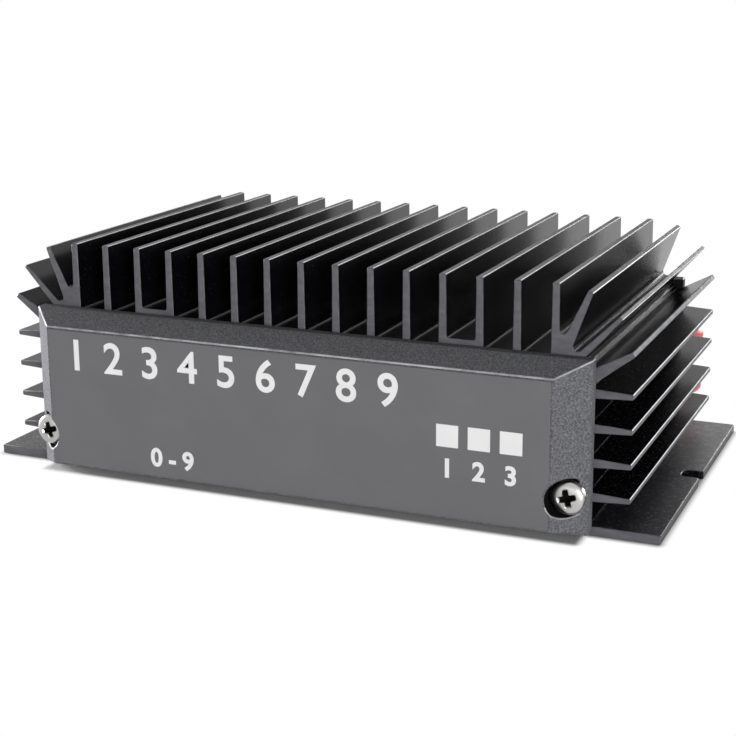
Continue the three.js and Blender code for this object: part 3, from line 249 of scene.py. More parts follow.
class Finish:
    """Builds one procedural material on object coordinates, in metres."""

    def __init__(self, name, base, roughness, metallic=0.0, shine=0.5):
        self.material = bpy.data.materials.new(name)
        self.material.use_nodes = True
        self.tree = self.material.node_tree
        self.shader = self.tree.nodes["Principled BSDF"]
        self.place = add_node(self.tree, "TexCoord", {}).outputs["Object"]
        self.base = base
        self.colour = (*base, 1.0)
        self.set({
            "Base Color": self.colour, "Roughness": roughness, "Metallic": metallic,
            "Specular IOR Level": shine,
        })

    def set(self, inputs):
        """Feeds the inputs of the surface's own shader."""
        feed(self.tree, self.shader, inputs)

    def noise(self, per_metre, stretch=(1, 1, 1), detail=3.0, rough=0.5):
        """Noise with so many features a metre, stretched along the axes."""
        mapping = add_node(self.tree, "Mapping", {"Vector": self.place, "Scale": stretch})
        node = add_node(self.tree, "TexNoise", {
            "Vector": mapping.outputs["Vector"], "Scale": per_metre, "Detail": detail, "Roughness": rough})
        return node.outputs["Fac"]

    def ranged(self, value, low, high, from_low=0.3, from_high=0.7):
        """The noise, spread from most of its own range to low and high."""
        return add_range(self.tree, value, low, high, from_low, from_high)

    def paint(self, factor, first, second):
        """Colours the surface between two colours, by the factor."""
        mix = add_node(self.tree, "Mix", {})
        mix.data_type = "RGBA"
        feed(self.tree, mix, {"Factor": factor, MIX_FIRST: first, MIX_SECOND: second})
        self.colour = mix.outputs[MIX_RESULT]
        self.set({"Base Color": self.colour})

    def shade(self, factor, colour):
        """Lays a colour over the one so far, by the factor."""
        self.paint(factor, self.colour, (*colour, 1.0))

    def vary(self, per_metre, low, high, stretch=(1, 1, 1), detail=3.0):
        """Lets the colour wander between two multiples of the base."""
        factor = self.ranged(self.noise(per_metre, stretch, detail), 0.0, 1.0)
        ends = [(*(part * share for part in self.base), 1.0) for share in (low, high)]
        self.paint(factor, *ends)

    def vary_roughness(self, per_metre, low, high):
        """Lets the roughness wander between two values."""
        self.set({"Roughness": self.ranged(self.noise(per_metre), low, high)})

    def bump(self, height, distance, strength):
        """Raises the surface by the height, at most by the distance in metres."""
        node = add_node(self.tree, "Bump", {"Height": height, "Distance": distance, "Strength": strength})
        self.set({"Normal": node.outputs["Normal"]})


def plain(name, base, roughness, metallic, spread):
    """A material with small wandering of colour and roughness and a fine grain."""
    made = Finish(name, base, roughness, metallic)
    made.vary(220, 1.0 - spread, 1.0 + spread)
    made.vary_roughness(400, roughness * 0.88, min(1.0, roughness * 1.15))
    made.bump(made.noise(1500), 0.00002, 0.6)
    return made.material


def anodised(name, shine, dust_from):
    """Black anodised aluminium: a fine grain, with specks of dust."""
    made = Finish(name, (0.0022, 0.0022, 0.0032), 0.25, shine=shine)
    dust = made.noise(2900, detail=2.0, rough=0.7)
    made.shade(made.ranged(dust, 0.0, 1.0, dust_from, dust_from + 0.16), (0.070, 0.070, 0.080))
    made.vary_roughness(700, 0.20, 0.24)
    made.bump(made.noise(3200, detail=2.0), 0.000006, 0.5)
    return made.material


def dusty_flange():
    """The flanges' tops: the same black, mottled with pale dust."""
    made = Finish("dusty_flange", (0.006, 0.006, 0.009), 0.34, shine=0.35)
    patches = made.ranged(made.noise(160), 0.0, 0.55, 0.38, 0.66)
    made.shade(patches, (0.026, 0.026, 0.034))
    dust = made.noise(2100, detail=2.0, rough=0.7)
    made.shade(made.ranged(dust, 0.0, 1.0, 0.52, 0.70), (0.15, 0.15, 0.17))
    made.vary_roughness(600, 0.3, 0.42)
    made.bump(made.noise(2600, detail=2.0), 0.00001, 0.6)
    return made.material


def sawn_end():
    """The heatsink's sawn and then anodised ends, with the saw's fine lines."""
    made = Finish("sawn_end", (0.100, 0.100, 0.113), 0.6)
    made.vary(1600, 0.80, 1.18, stretch=(0.3, 1, 1))
    made.vary_roughness(900, 0.52, 0.68)
    made.bump(made.noise(1500, stretch=(0.1, 1, 3.0)), 0.00002, 0.6)
    return made.material


def fin_tip():
    """The narrow tips of the fins, painted paler than their sides: a painted sheen of reflected light."""
    made = Finish("fin_tip", (0.12, 0.12, 0.13), 0.4, shine=0.1)
    made.vary(260, 0.90, 1.08, stretch=(1, 0.3, 1), detail=1.0)
    made.vary_roughness(400, 0.34, 0.5)
    return made.material


def worn_edge(name, base, low, high):
    """A thin paler edge: partly wear, rubbed paler in places, and partly a painted highlight."""
    made = Finish(name, base, 0.5)
    made.vary(700, low, high, detail=2.0)
    made.vary_roughness(900, 0.4, 0.6)
    return made.material


def chipped_edge():
    """The covers' upper edges: painted pale as a highlight, with bright chips here and there."""
    made = Finish("cover_edge_highlight_and_chips", (0.34, 0.34, 0.36), 0.45)
    made.vary(500, 0.55, 1.5, detail=2.0)
    chips = made.noise(160, detail=2.0)
    made.shade(made.ranged(chips, 0.0, 0.8, 0.50, 0.66), (0.62, 0.62, 0.64))
    made.vary_roughness(900, 0.4, 0.6)
    return made.material


def speckled_cover():
    """The covers' dark textured paint with its fine speckle."""
    made = Finish("cover_black", (0.098, 0.098, 0.105), 0.5, shine=0.03)
    speck = made.noise(4000, rough=0.65)
    made.shade(made.ranged(speck, 0.0, 1.0, 0.40, 0.80), (0.280, 0.285, 0.305))
    made.vary_roughness(2600, 0.42, 0.62)
    made.bump(speck, 0.00003, 0.8)
    return made.material


def label_film():
    """The smooth grey plate on the front."""
    made = Finish("label_grey", (0.132, 0.132, 0.140), 0.5)
    made.vary(120, 0.95, 1.05)
    made.vary_roughness(500, 0.46, 0.54)
    made.bump(made.noise(5000), 0.000008, 0.5)
    return made.material


def unlit(name):
    """Painted shade for a deep hollow: near black, hardly shining."""
    made = Finish(name, (0.003, 0.003, 0.003), 0.9, shine=0.05)
    made.vary(900, 0.5, 2.0)
    return made.material


# Each plain material's colour, roughness, metalness, and how far its colour wanders.
PLAIN_FINISHES = {
    "plated_steel": ((0.46, 0.45, 0.44), 0.30, 1.0, 0.10),
    "brass_parts": ((0.72, 0.53, 0.24), 0.3, 1.0, 0.08),
    "insulator_white": ((0.78, 0.77, 0.73), 0.45, 0.0, 0.03),
    "rubber_black": ((0.02, 0.02, 0.021), 0.75, 0.0, 0.2),
    "wire_red": ((0.72, 0.085, 0.08), 0.4, 0.0, 0.06),
    "wire_black": ((0.012, 0.012, 0.013), 0.3, 0.0, 0.2),
    "board_green": ((0.01, 0.10, 0.045), 0.35, 0.0, 0.15),
    "component_black": ((0.018, 0.018, 0.019), 0.5, 0.0, 0.15),
    "mica": ((0.6, 0.56, 0.46), 0.35, 0.0, 0.1),
    "soft_iron": ((0.5, 0.5, 0.5), 0.35, 1.0, 0.08),
    "copper_wire": ((0.72, 0.28, 0.12), 0.28, 1.0, 0.08),
    "ferrite": ((0.045, 0.045, 0.048), 0.7, 0.0, 0.2),
    "relay_shell": ((0.04, 0.045, 0.055), 0.35, 0.0, 0.1),
    "sleeve_blue": ((0.02, 0.05, 0.12), 0.3, 0.0, 0.08),
    "tie_white": ((0.74, 0.74, 0.70), 0.4, 0.0, 0.03),
    "print_white": ((0.88, 0.88, 0.88), 0.5, 0.0, 0.02),
    "track_green": ((0.03, 0.19, 0.09), 0.35, 0.0, 0.1),
    "solder": ((0.62, 0.62, 0.63), 0.3, 1.0, 0.08),
}
MATERIALS = {name: plain(name, *finish) for name, finish in PLAIN_FINISHES.items()}
MATERIALS |= {
    "black_anodised": anodised("black_anodised", 0.33, 0.64),
    # Copies of the black that shine less, and not at all, for the sides and for the walls between the side
    # fins: painted shade.
    "shaded_side_black": anodised("shaded_side_black", 0.06, 0.57),
    "shaded_wall_black": anodised("shaded_wall_black", 0.0, 0.66),
    "cover_black": speckled_cover(),
    "label_grey": label_film(),
    "sawn_end": sawn_end(),
    "fin_tip": fin_tip(),
    # The chamfers on the right of the fins' tips: a near-white painted highlight.
    "tip_highlight": worn_edge("tip_highlight", (0.86, 0.86, 0.87), 0.85, 1.1),
    "dusty_flange": dusty_flange(),
    "bore_painted_shade": unlit("bore_painted_shade"),
    "recess_painted_shade": unlit("recess_painted_shade"),
    # The heatsink's other chamfers: paler than the black, partly wear and partly a painted highlight.
    "anodised_edge_wear_and_highlight": worn_edge("anodised_edge_wear_and_highlight", (0.06, 0.06, 0.066), 0.5, 2.0),
    "cover_edge_highlight_and_chips": chipped_edge(),
}


def dress_nodes():
    """Gives every CAD node the material of its own slot."""
    for node in NODES.values():
        for slot in node.material_slots:
            slot.material = MATERIALS[slot.material.name.split(".")[0]]


# Meshes, and the pieces made of them.


def mesh_of(form, name, sharp=None):
    """The form as a mesh; with an angle in degrees, shaded smoothly across less sharp edges."""
    mesh = bpy.data.meshes.new(name)
    form.to_mesh(mesh)
    form.free()
    if sharp is not None:
        mesh.polygons.foreach_set("use_smooth", [True] * len(mesh.polygons))
        mesh.set_sharp_from_angle(angle=math.radians(sharp))
    return mesh


def join_rings(form, first, second, closed=True):
    """Spans faces between two rings of vertices; returns the faces."""
    count = len(first)
    return [
        form.faces.new((first[k], first[(k + 1) % count], second[(k + 1) % count], second[k]))
        for k in range(count if closed else count - 1)
    ]


def joined(name, meshes):
    """One mesh of several."""
    form = bmesh.new()
    for mesh in meshes:
        form.from_mesh(mesh)
        bpy.data.meshes.remove(mesh)
    return mesh_of(form, name)


def box_mesh(low, high):
    """A thin plate or strip between two corners."""
    form = bmesh.new()
    bmesh.ops.create_cube(form, size=1.0)
    mesh = mesh_of(form, "box")
    low, high = Vector(low), Vector(high)
    mesh.transform(Matrix.Translation((low + high) / 2) @ Matrix.Diagonal((*(high - low), 1)))
    return mesh


def turned_mesh(name, profile, place, angles=64, shape=None, arc=None):
    """A body turned about a line along Y through the place, from (radius, along) pairs.
    angles is a number of even steps or a list. shape may move a pair by its angle. arc keeps a sector."""
    form = bmesh.new()
    if isinstance(angles, int):
        start, end = arc or (0.0, math.tau)
        count = angles + 1 if arc else angles
        angles = [start + (end - start) * k / angles for k in range(count)]
    rings = []
    for radius, along in profile:
        ring = []
        for angle in angles:
            r, y = shape(radius, along, angle) if shape else (radius, along)
            ring.append(form.verts.new(
                (place[0] + r * math.cos(angle), place[1] + y, place[2] + r * math.sin(angle))))
        rings.append(ring)
    loop = rings[1:] + rings[:1] if profile[0][0] > 0 else rings[1:]
    for first, second in zip(rings, loop):
        join_rings(form, first, second, closed=not arc)
    if arc:
        form.faces.new([ring[0] for ring in rings])
        form.faces.new([ring[-1] for ring in rings])
    bmesh.ops.remove_doubles(form, verts=form.verts, dist=SAME_PLACE)
    bmesh.ops.recalc_face_normals(form, faces=form.faces)
    return mesh_of(form, name, 30)


def add_tube(form, points, radius, sides):
    """A round tube through points, with closed ends."""
    across = (points[1] - points[0]).orthogonal().normalized()
    turns = [math.tau * side / sides for side in range(sides)]
    rings = []
    for k, point in enumerate(points):
        along = (points[min(k + 1, len(points) - 1)] - points[max(k - 1, 0)]).normalized()
        across = (across - along * across.dot(along)).normalized()
        below = along.cross(across)
        rings.append([
            form.verts.new(point + (across * math.cos(turn) + below * math.sin(turn)) * radius)
            for turn in turns
        ])
    for first, second in zip(rings, rings[1:]):
        join_rings(form, first, second)
    form.faces.new(list(reversed(rings[0])))
    form.faces.new(rings[-1])


def tubes_mesh(name, paths, radius, sides=12):
    """Several round tubes as one mesh."""
    form = bmesh.new()
    for points in paths:
        add_tube(form, [Vector(point) for point in points], radius, sides)
    bmesh.ops.recalc_face_normals(form, faces=form.faces)
    return mesh_of(form, name, 40)


def stood_up(mesh, place):
    """The mesh turned from lying along Y to stand along Z, and moved to the place."""
    mesh.transform(Matrix.Translation(Vector(place)) @ Matrix.Rotation(math.pi / 2, 4, "X"))
    return mesh


def add_piece(name, mesh, slot, *nodes, body="root", materials=None):
    """Links a mesh as a piece that rides on the body and stands for the CAD nodes."""
    piece = add_object(name, mesh)
    for material in materials or [slot]:
        mesh.materials.append(MATERIALS[material])
    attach(piece, body)
    if nodes:
        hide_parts(*nodes)
    return piece


def add_finished(node, mesh, slot, **more):
    """Adds the finer mesh of one CAD node in its place."""
    return add_piece(f"{node}_finished", mesh, slot, node, **more)


# CAD pieces with their sharp edges broken.

BODY_OF = {
    "relay_armature": "relay_arm",
    "relay_moving_contact": "relay_arm",
    "trimmer_rotor": "trimmer_screw",
}
FLAT_ANGLE = math.radians(0.3)
SHARP_ANGLE = math.radians(30)


def refine(node, slot, edge, width, segments=1, more=(), pick=None, pick_edge=None):
    """A CAD node with its sharp edges broken by a narrow chamfer in a material of its own.
    pick names the material of each face, and pick_edge of each chamfer, where some differ from the rest."""
    materials = [slot, edge, *more]
    form = bmesh.new()
    form.from_mesh(NODES[node].data)
    bmesh.ops.remove_doubles(form, verts=form.verts, dist=SAME_PLACE)
    bmesh.ops.dissolve_limit(
        form, angle_limit=FLAT_ANGLE, verts=form.verts, edges=form.edges, use_dissolve_boundaries=False)
    form.normal_update()
    for face in form.faces:
        face.material_index = materials.index(pick(face)) if pick else 0
    edges = [e for e in form.edges if len(e.link_faces) == 2 and e.calc_face_angle(0.0) > SHARP_ANGLE]
    bmesh.ops.bevel(
        form, geom=edges, offset=width, offset_type="OFFSET", segments=segments, profile=0.5,
        affect="EDGES", clamp_overlap=False, material=1)
    form.normal_update()
    if pick_edge:
        for face in [face for face in form.faces if face.material_index == 1]:
            face.material_index = materials.index(pick_edge(face))
    piece = add_finished(
        node, mesh_of(form, f"{node}_finished", 28), slot,
        body=BODY_OF.get(node, "root"), materials=materials)
    flat_faces_first = piece.modifiers.new("flat_faces_first", "WEIGHTED_NORMAL")
    flat_faces_first.weight = 100
    flat_faces_first.keep_sharp = True


HEATSINK_EXTRAS = ["sawn_end", "fin_tip", "dusty_flange", "shaded_side_black", "shaded_wall_black", "tip_highlight"]
FIN_TIP_INDEX = 2 + HEATSINK_EXTRAS.index("fin_tip")
END_FACES = [corner.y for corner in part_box("heatsink_body")]
LONG_FACE = 0.04
STEEP_ANGLE = math.radians(60)
TIP_WIDTHS = (0.00045, 0.00105)
FLANGE_TOP_Z = 0.0013
SIDE_X = 0.0378
SIDE_TOP_Z = 0.0265
WALL_X = 0.0404


def heatsink_face(face):
    """The material of a face: the sawn ends and the flanges' tops each have their own; the fins' tips are
    painted paler as a sheen, and the sides and the walls between the sides' fins take copies of the black
    that shine less, as painted shade."""
    middle = face.calc_center_median()
    if abs(face.normal.y) > 0.9 and min(abs(middle.y - end) for end in END_FACES) < 1e-5:
        return "sawn_end"
    if face.normal.z > 0.9 and abs(middle.z - FLANGE_TOP_Z) < 1e-4:
        return "dusty_flange"
    # The walls between the side fins, and the sides below, get copies of the black that shine less: painted
    # shade.
    if abs(face.normal.x) > 0.7 and abs(abs(middle.x) - WALL_X) < 0.0004:
        return "shaded_wall_black"
    rest = "shaded_side_black" if abs(middle.x) > SIDE_X and middle.z < SIDE_TOP_Z else "black_anodised"
    length = max(v.co.y for v in face.verts) - min(v.co.y for v in face.verts)
    if length < LONG_FACE or abs(face.normal.y) > 0.1:
        return rest
    width = face.calc_area() / length
    steep = [e for e in face.edges if e.calc_length() > LONG_FACE and e.calc_face_angle(0.0) > STEEP_ANGLE]
    if not (TIP_WIDTHS[0] < width < TIP_WIDTHS[1] and len(steep) >= 2):
        return rest
    # The fins' tips are painted paler as a sheen: low on the sides the slanted ones take the sawn ends' grey,
    # the others the tip's own sheen.
    slanted = 0.2 < face.normal.z < 0.95
    return "sawn_end" if slanted and middle.z < SIDE_TOP_Z else "fin_tip"


def heatsink_arris(face):
    """A painted highlight for a chamfer on the right of a fin's tip; the other chamfers take the paler
    anodised edge.
    """
    beside = {linked.material_index for edge in face.edges for linked in edge.link_faces}
    bright = FIN_TIP_INDEX in beside and face.normal.x > 0.1 and abs(face.normal.y) < 0.1
    return "tip_highlight" if bright else "anodised_edge_wear_and_highlight"


SCREW_X = 0.0387
SCREW_Z = 0.0061
BORE_REACH = 0.00265


def cover_face(face):
    """Painted shade: black for the walls and floors of the holes round the screws."""
    middle = face.calc_center_median()
    away = math.hypot(abs(middle.x) - SCREW_X, middle.z - SCREW_Z)
    far = max(math.hypot(abs(v.co.x) - SCREW_X, v.co.z - SCREW_Z) for v in face.verts)
    wall = abs(face.normal.y) < 0.05 and away < BORE_REACH
    floor = abs(face.normal.y) > 0.9 and far < BORE_REACH
    return "bore_painted_shade" if wall or floor else "cover_black"


def cover_arris(face):
    """A painted highlight for a cover's chamfer that looks up; the others keep the cover's paint."""
    return "cover_edge_highlight_and_chips" if face.normal.z > 0.3 else "cover_black"


CORNERS = [f"{end}_{side}" for end in ("front", "rear") for side in ("left", "right")]

# The plainer pieces: material, chamfer's width and its segments.
BROKEN_EDGES = {
    "cable_grommet": ("rubber_black", 0.0003, 3),
    "lead_tie": ("tie_white", 0.00018, 3),
    "base_plate": ("black_anodised", 0.0002, 2),
    "circuit_board": ("board_green", 0.00006, 1),
    "electrolytic_capacitor": ("sleeve_blue", 0.00012, 2),
    "input_transformer": ("ferrite", 0.0003, 3),
    "output_transformer": ("ferrite", 0.0004, 3),
    "polarity_diode": ("component_black", 0.00015, 2),
    "relay_armature": ("soft_iron", 0.00008, 1),
    "relay_base": ("component_black", 0.0002, 2),
    "relay_case": ("relay_shell", 0.0002, 3),
    "relay_fixed_contact": ("brass_parts", 0.00008, 1),
    "relay_moving_contact": ("brass_parts", 0.00005, 1),
    "relay_yoke": ("soft_iron", 0.00012, 2),
    "transistor_case": ("component_black", 0.00012, 2),
    "transistor_pad": ("mica", 0.00004, 1),
    "transistor_tab": ("plated_steel", 0.00012, 2),
    "trimmer_base": ("component_black", 0.0001, 2),
    "trimmer_rotor": ("brass_parts", 0.00006, 1),
}
BROKEN_EDGES |= {f"board_spacer_{corner}": ("brass_parts", 0.0001, 1) for corner in CORNERS}


def break_edges():
    """Breaks the edges of the case's pieces, and gives the plainer ones the rounding of their real edges."""
    # The heatsink's and the covers' chamfers take paler materials: painted highlights, partly also wear and
    # chips.
    refine("heatsink_body", "black_anodised", "anodised_edge_wear_and_highlight", 0.0001,
           more=HEATSINK_EXTRAS, pick=heatsink_face, pick_edge=heatsink_arris)
    for cover in ("front_cover", "rear_cover"):
        refine(cover, "cover_black", "cover_edge_highlight_and_chips", 0.00015,
               more=["bore_painted_shade"], pick=cover_face, pick_edge=cover_arris)
    refine("front_label", "label_grey", "label_grey", 0.00012)
    for node, (slot, width, segments) in BROKEN_EDGES.items():
        refine(node, slot, slot, width, segments=segments)


# The pan-head screws.

SCREW_HEAD = 0.0022
SCREW_HEAD_HEIGHT = 0.0015
SCREW_RIM = 0.00082
COVER_SHANK = 0.0009
BOARD_SHANK = 0.0011
SCREW_POINT = 0.0002
SCREW_PITCH = 0.00045
SCREW_SIDES = 72
DOME_RINGS = 34
RECESS_HALF = 0.0013
RECESS_SLOT = 0.00034
RECESS_BLUR = 0.00009
RECESS_CORE = 0.00055
RECESS_DEPTH = 0.0010
# Deeper than this, the cross recess takes painted shade.
RECESS_SHADE_DEPTH = 0.00025


def soft_step(value, low, high):
    """Nought below low, one above high, smooth between."""
    share = min(1.0, max(0.0, (value - low) / (high - low)))
    return share * share * (3 - 2 * share)


def recess_depth(x, y, turn):
    """How deep the cross recess, turned by an angle, is at a place on the head."""
    across = x * math.cos(turn) + y * math.sin(turn)
    along = y * math.cos(turn) - x * math.sin(turn)
    depth = 0.0
    for u, v in ((across, along), (along, across)):
        wall = 1 - soft_step(abs(u), RECESS_SLOT - RECESS_BLUR, RECESS_SLOT + RECESS_BLUR)
        reach = 1 - soft_step(abs(v), RECESS_HALF * 0.25, RECESS_HALF)
        depth = max(depth, wall * reach ** 0.6)
    core = 1 - soft_step(abs(across) + abs(along), RECESS_CORE, RECESS_CORE + 0.0004)
    return RECESS_DEPTH * max(depth * 0.85, core)


def screw_mesh(name, length, turn, shank):
    """A pan-head screw with a thread and a cross recess, its head's seat at z 0 and its head up."""
    form = bmesh.new()
    turns = [math.tau * k / SCREW_SIDES for k in range(SCREW_SIDES)]
    rim = [(math.cos(angle), math.sin(angle)) for angle in turns]
    profile = [(shank * 0.5, -length), (shank * 0.8, -length + 0.0004)]
    z = -length + 0.0006
    while z < -0.0003:
        profile += [(shank, z), (shank * 0.84, z + SCREW_PITCH / 2)]
        z += SCREW_PITCH
    profile += [(shank, -0.0001), (shank, 0.0), (SCREW_HEAD * 0.96, 0.0), (SCREW_HEAD, 0.00006),
                (SCREW_HEAD, SCREW_RIM)]
    rings = [[form.verts.new((radius * x, radius * y, z)) for x, y in rim] for radius, z in profile]
    for lower, upper in zip(rings, rings[1:]):
        join_rings(form, lower, upper)
    for ring in range(1, DOME_RINGS + 1):
        radius = SCREW_HEAD * (1 - ring / (DOME_RINGS + 1)) ** 1.1
        bulge = math.sqrt(1 - (radius / SCREW_HEAD) ** 3)
        dome = SCREW_RIM + (SCREW_HEAD_HEIGHT - SCREW_RIM) * bulge
        rings.append([
            form.verts.new((radius * x, radius * y, dome - recess_depth(radius * x, radius * y, turn)))
            for x, y in rim
        ])
        for face in join_rings(form, *rings[-2:]):
            middle = face.calc_center_median()
            # Faces deep in the cross recess, and its middle, take painted shade.
            face.material_index = 1 if recess_depth(middle.x, middle.y, turn) > RECESS_SHADE_DEPTH else 0
    centre = form.verts.new((0, 0, SCREW_HEAD_HEIGHT - recess_depth(0, 0, turn)))
    tip = form.verts.new((0, 0, -length - SCREW_POINT))
    for k in range(SCREW_SIDES):
        after = (k + 1) % SCREW_SIDES
        form.faces.new((rings[-1][k], rings[-1][after], centre)).material_index = 1
        form.faces.new((rings[0][after], rings[0][k], tip))
    return mesh_of(form, name, 40)


def add_screw(node, outward, turn, shank):
    """A screw in a CAD node's place, its head outward and its cross turned its own way."""
    low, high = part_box(node)
    outward = Vector(outward)
    half = abs((high - low).dot(outward)) / 2
    mesh = screw_mesh(f"{node}_finished", 2 * half - SCREW_HEAD_HEIGHT - SCREW_POINT, turn, shank)
    seat = (low + high) / 2 + outward * (half - SCREW_HEAD_HEIGHT)
    mesh.transform(Matrix.Translation(seat) @ outward.to_track_quat("Z", "Y").to_matrix().to_4x4())
    add_finished(node, mesh, "plated_steel", materials=["plated_steel", "recess_painted_shade"])


def add_screws():
    """The four screws of the covers, and those of the board and the transistor, heads down."""
    for corner, turn in zip(CORNERS, (0.3, 0.26, 0.5, 1.1)):
        end, side = corner.split("_")
        add_screw(f"{end}_cover_screw_{side}", (0, -1 if end == "front" else 1, 0), turn, COVER_SHANK)
    below = [f"board_screw_{corner}" for corner in CORNERS] + ["transistor_screw"]
    for count, node in enumerate(below):
        add_screw(node, (0, 0, -1), 0.4 + count * 0.5, BOARD_SHANK)


# The print on the front.

PRINT_FACE = -0.03865
PRINT_THICK = 0.00003
DIGIT_SHARE = 0.69
SCALE_FIRST_X = -0.0322
SCALE_STEP = 0.0059
MODE_PLACES = (0.0232, 0.0275, 0.0318)
SQUARE_HALF = 0.0015
SQUARE_BASE = 0.0116


def glyph_mesh(text, height, bold, middle_x, base_z):
    """One short text as a thin mesh on the label, centred on middle_x, standing on base_z."""
    data = bpy.data.curves.new("glyph", "FONT")
    data.body = text
    data.size = height / DIGIT_SHARE
    data.align_x = "CENTER"
    data.extrude = PRINT_THICK / 2
    data.offset = bold
    carrier = add_object("glyph", data)
    bpy.context.view_layer.update()
    mesh = bpy.data.meshes.new_from_object(carrier.evaluated_get(bpy.context.evaluated_depsgraph_get()))
    bpy.data.objects.remove(carrier)
    return stood_up(mesh, (middle_x, PRINT_FACE, base_z))


def print_square(middle_x):
    """One square of print."""
    return box_mesh(
        (middle_x - SQUARE_HALF, PRINT_FACE - PRINT_THICK / 2, SQUARE_BASE),
        (middle_x + SQUARE_HALF, PRINT_FACE + PRINT_THICK / 2, SQUARE_BASE + 2 * SQUARE_HALF))


def add_print():
    """Plain white numbers and squares on the front."""
    prints = {
        "front_scale_numbers": [
            glyph_mesh(str(number), 0.0043, 0.0001, SCALE_FIRST_X + SCALE_STEP * (number - 1), 0.0162)
            for number in range(1, 10)
        ],
        "front_range_numbers": [glyph_mesh("0 - 9", 0.0025, 0.00012, -0.0174, 0.0036)],
        "front_mode_marks": [print_square(middle) for middle in MODE_PLACES] + [
            glyph_mesh(str(number), 0.0024, 0.00012, middle, 0.0076)
            for number, middle in enumerate(MODE_PLACES, 1)
        ],
    }
    for name, meshes in prints.items():
        add_piece(name, joined(name, meshes), "label_grey", materials=["print_white"])


# The coax sockets: radii, and places along their axis outward from the cover.

ANTENNA_X = -0.026
RADIO_X = 0.002
SOCKET_FACE = 0.022995
SOCKET_Z = 0.0122
SOCKET_TIP = 0.01565
SOCKET_BORE_FLOOR = 0.00305
SOCKET_STUB_END = -0.0053
FLANGE_TOP = 0.00205
FLANGE_RADIUS = 0.0093
MOUTH_RADIUS = 0.0063
BARREL_RADIUS = 0.00794
BARREL_THREAD = (FLANGE_TOP + 0.0008, SOCKET_TIP - 0.0004)
BARREL_PITCH = 0.001058
STUB_RADIUS = 0.0059
STUB_THREAD = (SOCKET_STUB_END + 0.0002, -0.0001)
STUB_PITCH = BARREL_PITCH * 0.8
THREAD_STEPS = 8
NOTCH_HALF = math.radians(6.5)
NOTCH_DEPTH = 0.0012
NUT_CORNER = 0.0089
NUT_BORE = 0.0062
WASHER_BORE = 0.0062
WASHER_TEETH = 12
WASHER_TOOTH = 0.0007
FINGER_GAP = math.radians(6)


def thread_rings(radius, start, end, pitch):
    """The pairs of a threaded stretch."""
    count = round(abs(end - start) / pitch * THREAD_STEPS)
    return [(radius, start + (end - start) * k / count) for k in range(count + 1)]


def thread_depth(along, angle, start, end, pitch, depth):
    """How deep a thread is at a place, running out at both ends."""
    phase = (along / pitch - angle / math.tau) % 1.0
    fade = max(0.0, min(1.0, (along - start) / pitch, (end - along) / pitch))
    return depth * abs(2 * phase - 1) * fade


def mouth_notch(angle):
    """Whether one of the four notches of a socket's mouth is at the angle."""
    return abs((angle + math.pi / 4) % (math.pi / 2) - math.pi / 4) < NOTCH_HALF


def shell_shape(radius, along, angle):
    """Cuts the threads and the mouth's notches into a socket's shell."""
    if abs(radius - BARREL_RADIUS) < SAME_PLACE:
        radius -= thread_depth(along, angle, *BARREL_THREAD, BARREL_PITCH, 0.00055)
    if abs(radius - STUB_RADIUS) < SAME_PLACE:
        radius -= thread_depth(along, angle, *STUB_THREAD, STUB_PITCH, 0.0004)
    if mouth_notch(angle):
        along = min(along, SOCKET_TIP - NOTCH_DEPTH)
    return radius, along


def nut_shape(radius, along, angle):
    """Turns the nut's outer rings into a hexagon with bevelled corners."""
    if radius > NUT_BORE:
        flats = NUT_CORNER * math.cos(math.pi / 6) / math.cos(angle % (math.pi / 3) - math.pi / 6)
        radius = min(flats, radius)
    return radius, along


def washer_shape(radius, along, angle):
    """Cuts the washer's inner rim into teeth."""
    if radius <= WASHER_BORE and math.cos(angle * WASHER_TEETH) <= 0.1:
        radius += WASHER_TOOTH
    return radius, along


def shell_mesh(name, place):
    """A threaded shell with a square-cut flange, its mouth notched for the plug."""
    notches = [math.pi / 4 + k * math.pi / 2 for k in range(4)]
    notch_sides = {
        (notch + side * (NOTCH_HALF + more)) % math.tau
        for notch in notches for side in (-1, 1) for more in (-0.002, 0.002)
    }
    angles = sorted({math.tau * k / 64 for k in range(64)} | notch_sides)
    profile = [(MOUTH_RADIUS, SOCKET_TIP - NOTCH_DEPTH), (MOUTH_RADIUS, SOCKET_TIP - 0.0003),
               (0.0066, SOCKET_TIP), (0.00745, SOCKET_TIP)]
    profile += thread_rings(BARREL_RADIUS, *reversed(BARREL_THREAD), BARREL_PITCH)
    profile += [(0.0073, FLANGE_TOP + 0.0006), (0.0073, FLANGE_TOP), (0.0089, FLANGE_TOP),
                (0.0092, FLANGE_TOP - 0.00015), (FLANGE_RADIUS, FLANGE_TOP - 0.0004),
                (FLANGE_RADIUS, 0.0004), (0.0091, 0.00005), (0.0060, 0.00005)]
    profile += thread_rings(STUB_RADIUS, *reversed(STUB_THREAD), STUB_PITCH)
    profile += [(0.0057, SOCKET_STUB_END), (0.0041, SOCKET_STUB_END), (0.0041, SOCKET_BORE_FLOOR),
                (MOUTH_RADIUS, SOCKET_BORE_FLOOR)]
    return turned_mesh(name, profile, place, angles, shell_shape)


def contact_mesh(name, place):
    """The centre contact: a cup of four sprung fingers on a pin with a solder cup."""
    foot = [(0.0, 0.00325), (0.00195, 0.00325), (0.00195, 0.0052), (0.0027, 0.0052), (0.0027, 0.00225),
            (0.0025, 0.00205), (0.0012, 0.00205), (0.0012, -0.0072), (0.0011, -0.0073), (0.0008, -0.0073),
            (0.0008, -0.0055), (0.0, -0.0055)]
    finger = [(0.00195, 0.0051), (0.00195, 0.01085), (0.0022, 0.01125), (0.0025, 0.01125),
              (0.0027, 0.01105), (0.0027, 0.0051)]
    sectors = [(k * math.pi / 2 + FINGER_GAP, (k + 1) * math.pi / 2 - FINGER_GAP) for k in range(4)]
    fingers = [turned_mesh("finger", finger, place, 14, arc=sector) for sector in sectors]
    return joined(name, [turned_mesh("contact_foot", foot, place, 48), *fingers])


